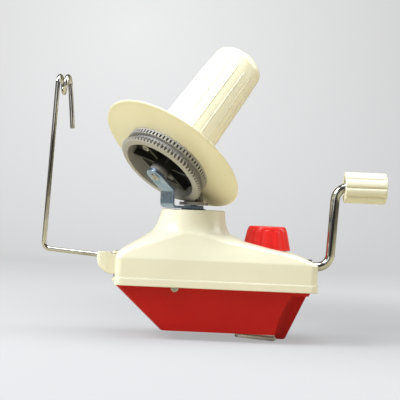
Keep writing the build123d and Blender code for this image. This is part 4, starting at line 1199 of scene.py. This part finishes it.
@dataclass
class Studio:
    """Camera, soft light, pale floor and backdrop; in metres, but for roll and lens."""

    camera_place: Point = (-0.0175, -1.0, 0.106)
    roll: float = 2.5
    lens: float = 109.0
    lamps: tuple[SoftBox, ...] = (
        SoftBox("left_box", (-0.90, -0.46, 1.04), (0.6, 0.6), 26.0, COOL),
        SoftBox("right_box", (0.93, 0.12, 0.62), (0.5, 0.6), 5.0),
        SoftBox("top_box", (0.12, -0.15, 1.30), (0.9, 0.7), 17.0, COOL),
        SoftBox("front_box", (-0.50, -1.25, 0.40), (0.7, 0.5), 1.4))
    surround: Colour = srgb("ECECF0")
    surround_light: float = 0.25
    surround_seen: float = 0.80
    floor_gap: float = 0.0003
    sweep_front: float = -4.0
    sweep_back: float = 1.1
    sweep_bend: float = 0.5
    sweep_side: float = 4.0
    sweep_steps: int = 12
    card: tuple[Point, ...] = (
        (-0.9, -1.6, 0.0), (0.9, -1.6, 0.0), (0.9, -1.6, 1.1), (-0.9, -1.6, 1.1))
    card_colour: Colour = srgb("28282A")
    bounce_colour: Colour = srgb("B6AE92")
    seen_colour: Colour = srgb("707072")
    glow_colour: Colour = srgb("FEFEFF")
    glow_place: Point = (-0.17, 1.6, 0.47)
    glow_reach: float = 0.75
    glow_near: float = 0.72
    glow_far: float = 0.49
    shade_place: Point = (0.16, 0.20, -0.007)
    shade_reach: float = 0.45
    shade_depth: float = -0.22

    def build(self) -> None:
        """Builds the studio."""
        self.set_camera()
        for lamp in self.lamps:
            lamp.build()
        self.set_surround()
        self.set_ground()
        bpy.context.scene.view_settings.view_transform = "Standard"

    def set_camera(self) -> None:
        """Puts the camera where the photograph was taken from."""
        data = bpy.data.cameras.new("photo_camera")
        data.lens = self.lens
        camera = placed("photo_camera", data)
        camera.matrix_world = (Matrix.Translation(self.camera_place) @ Matrix.Rotation(pi / 2, 4, "X")
                               @ Matrix.Rotation(radians(self.roll), 4, "Z"))
        bpy.context.scene.camera = camera

    def set_surround(self) -> None:
        """Adds the pale surround, brighter to the camera than to the winder."""
        world = bpy.data.worlds.new("pale_surround")
        world.use_nodes = True
        kit = NodeKit(world.node_tree)
        seen = kit.add("ShaderNodeLightPath", output="Is Camera Ray")
        strength = kit.ramp(seen, 0.0, 1.0, self.surround_light, self.surround_seen)
        sky = world.node_tree.nodes["Background"].inputs
        kit.feed(sky["Color"], self.surround)
        kit.feed(sky["Strength"], strength)
        bpy.context.scene.world = world

    def plain(self, name: str, verts: list[Point], faces: list[tuple[int, ...]],
              material: Material) -> bpy.types.Object:
        """Adds a smooth piece of the studio.

        Args:
            name: Name of the piece.
            verts: Its corners.
            faces: Its faces.
            material: Its material.

        Returns:
            The new object.
        """
        mesh = bpy.data.meshes.new(name)
        mesh.from_pydata(verts, [], faces)
        mesh.shade_smooth()
        mesh.materials.append(material)
        return placed(name, mesh)

    def set_ground(self) -> None:
        """Adds the floor that runs up into the backdrop, and a dark card behind the camera."""
        floor, bend, side = CAD_BOX[0].z - self.floor_gap, self.sweep_bend, self.sweep_side
        line = [(self.sweep_front, floor), (self.sweep_back, floor)]
        line += [(self.sweep_back + bend * sin(a), floor + bend * (1 - cos(a)))
                 for a in (pi / 2 * i / self.sweep_steps for i in range(1, self.sweep_steps + 1))]
        line.append((self.sweep_back + bend, floor + side))
        verts = [(end * side, y, z) for y, z in line for end in (-1, 1)]
        faces = [(2 * i, 2 * i + 1, 2 * i + 3, 2 * i + 2) for i in range(len(line) - 1)]
        sweep = self.plain("pale_sweep", verts, faces, self.paper())
        shade = NodeBench("dark_card").principled(Base_Color=self.card_colour)
        card = self.plain("dark_card", list(self.card), [(0, 1, 2, 3)], shade)
        card.visible_camera = False

    def paper(self) -> Material:
        """Pale paper: warm to the winder; to the camera it glows, with a painted pool of light on the
        backdrop and a painted shadow on the floor to the right.

        Returns:
            The paper's material.
        """
        bench = NodeBench("pale_paper")
        bounce = bench.add("ShaderNodeBsdfPrincipled", {
            "Base Color": self.bounce_colour, "Roughness": 0.9})
        seen = bench.add("ShaderNodeBsdfDiffuse", {"Color": self.seen_colour})
        # Painted light: the glow is stronger near a point on the backdrop, and a painted shadow
        # darkens the floor to the right of the winder.
        bright = bench.ramp(bench.far(self.glow_place), 0.0, self.glow_reach, self.glow_near,
                            self.glow_far)
        shade = bench.ramp(bench.far(self.shade_place), 0.0, self.shade_reach, self.shade_depth,
                           0.0, "SMOOTHSTEP")
        glow = bench.add("ShaderNodeEmission", {
            "Color": self.glow_colour, "Strength": bench.math("ADD", bright, shade)})
        shown = bench.add("ShaderNodeAddShader", {0: seen, 1: glow})
        camera = bench.add("ShaderNodeLightPath", output="Is Camera Ray")
        return bench.finish(bench.add("ShaderNodeMixShader", {0: camera, 1: bounce, 2: shown}))


# CAD nodes whose shape is right, so that they only get smooth faces and a finish.
COPIES = (
    (Body.CASE, Look.GREY_GEAR, "gear_frame"),
    (Body.CASE, Look.STEEL, "centre_post post_clip"),
    (Body.CASE, Look.GREY_CUP, "fixed_gear"),
    (Body.CASE, Look.STEEL, "fixed_gear_pin"),
    (Body.CASE, Look.BEARING, "turret_bushing crank_bushing"),
    (Body.CASE, Look.STEEL, "guide_pin"),
    (Body.ROTOR, Look.ZINC, "rotor_sleeve"),
    (Body.ROTOR, Look.GREY_GEAR, "rotor_pinion"),
    (Body.ROTOR, Look.ZINC, "rotor_bracket spool_washer"),
    (Body.ROTOR, Look.STEEL, "spool_clip"),
    (Body.CRANK, Look.GREY_GEAR, "crank_gear"),
    (Body.CRANK, Look.STEEL, "crank_gear_pin shaft_clip grip_retainer"),
    (Body.GRIP, Look.CREAM_CASE, "grip_cap"),
    (Body.KNOB, Look.STEEL, "clamp_screw clamp_clip"),
    (Body.JAW, Look.ZINC_JAW_PAINTED_LIGHT, "clamp_jaw"),
    (Body.JAW, Look.ZINC, "clamp_nut"),
    (Body.GUIDE, Look.CREAM_CASE, "guide_holder"),
)


def main() -> None:
    """Builds the winder and its studio."""
    logging.basicConfig(level=logging.INFO, format="%(message)s")
    for part in (Housing(), Crank(), ClampKnob(), Spool(), YarnGuide()):
        part.build()
    for body, look, nodes in COPIES:
        for node in nodes.split():
            skin(node, smooth_copy(node), body, look)
    Studio().build()


if __name__ == "__main__":
    main()
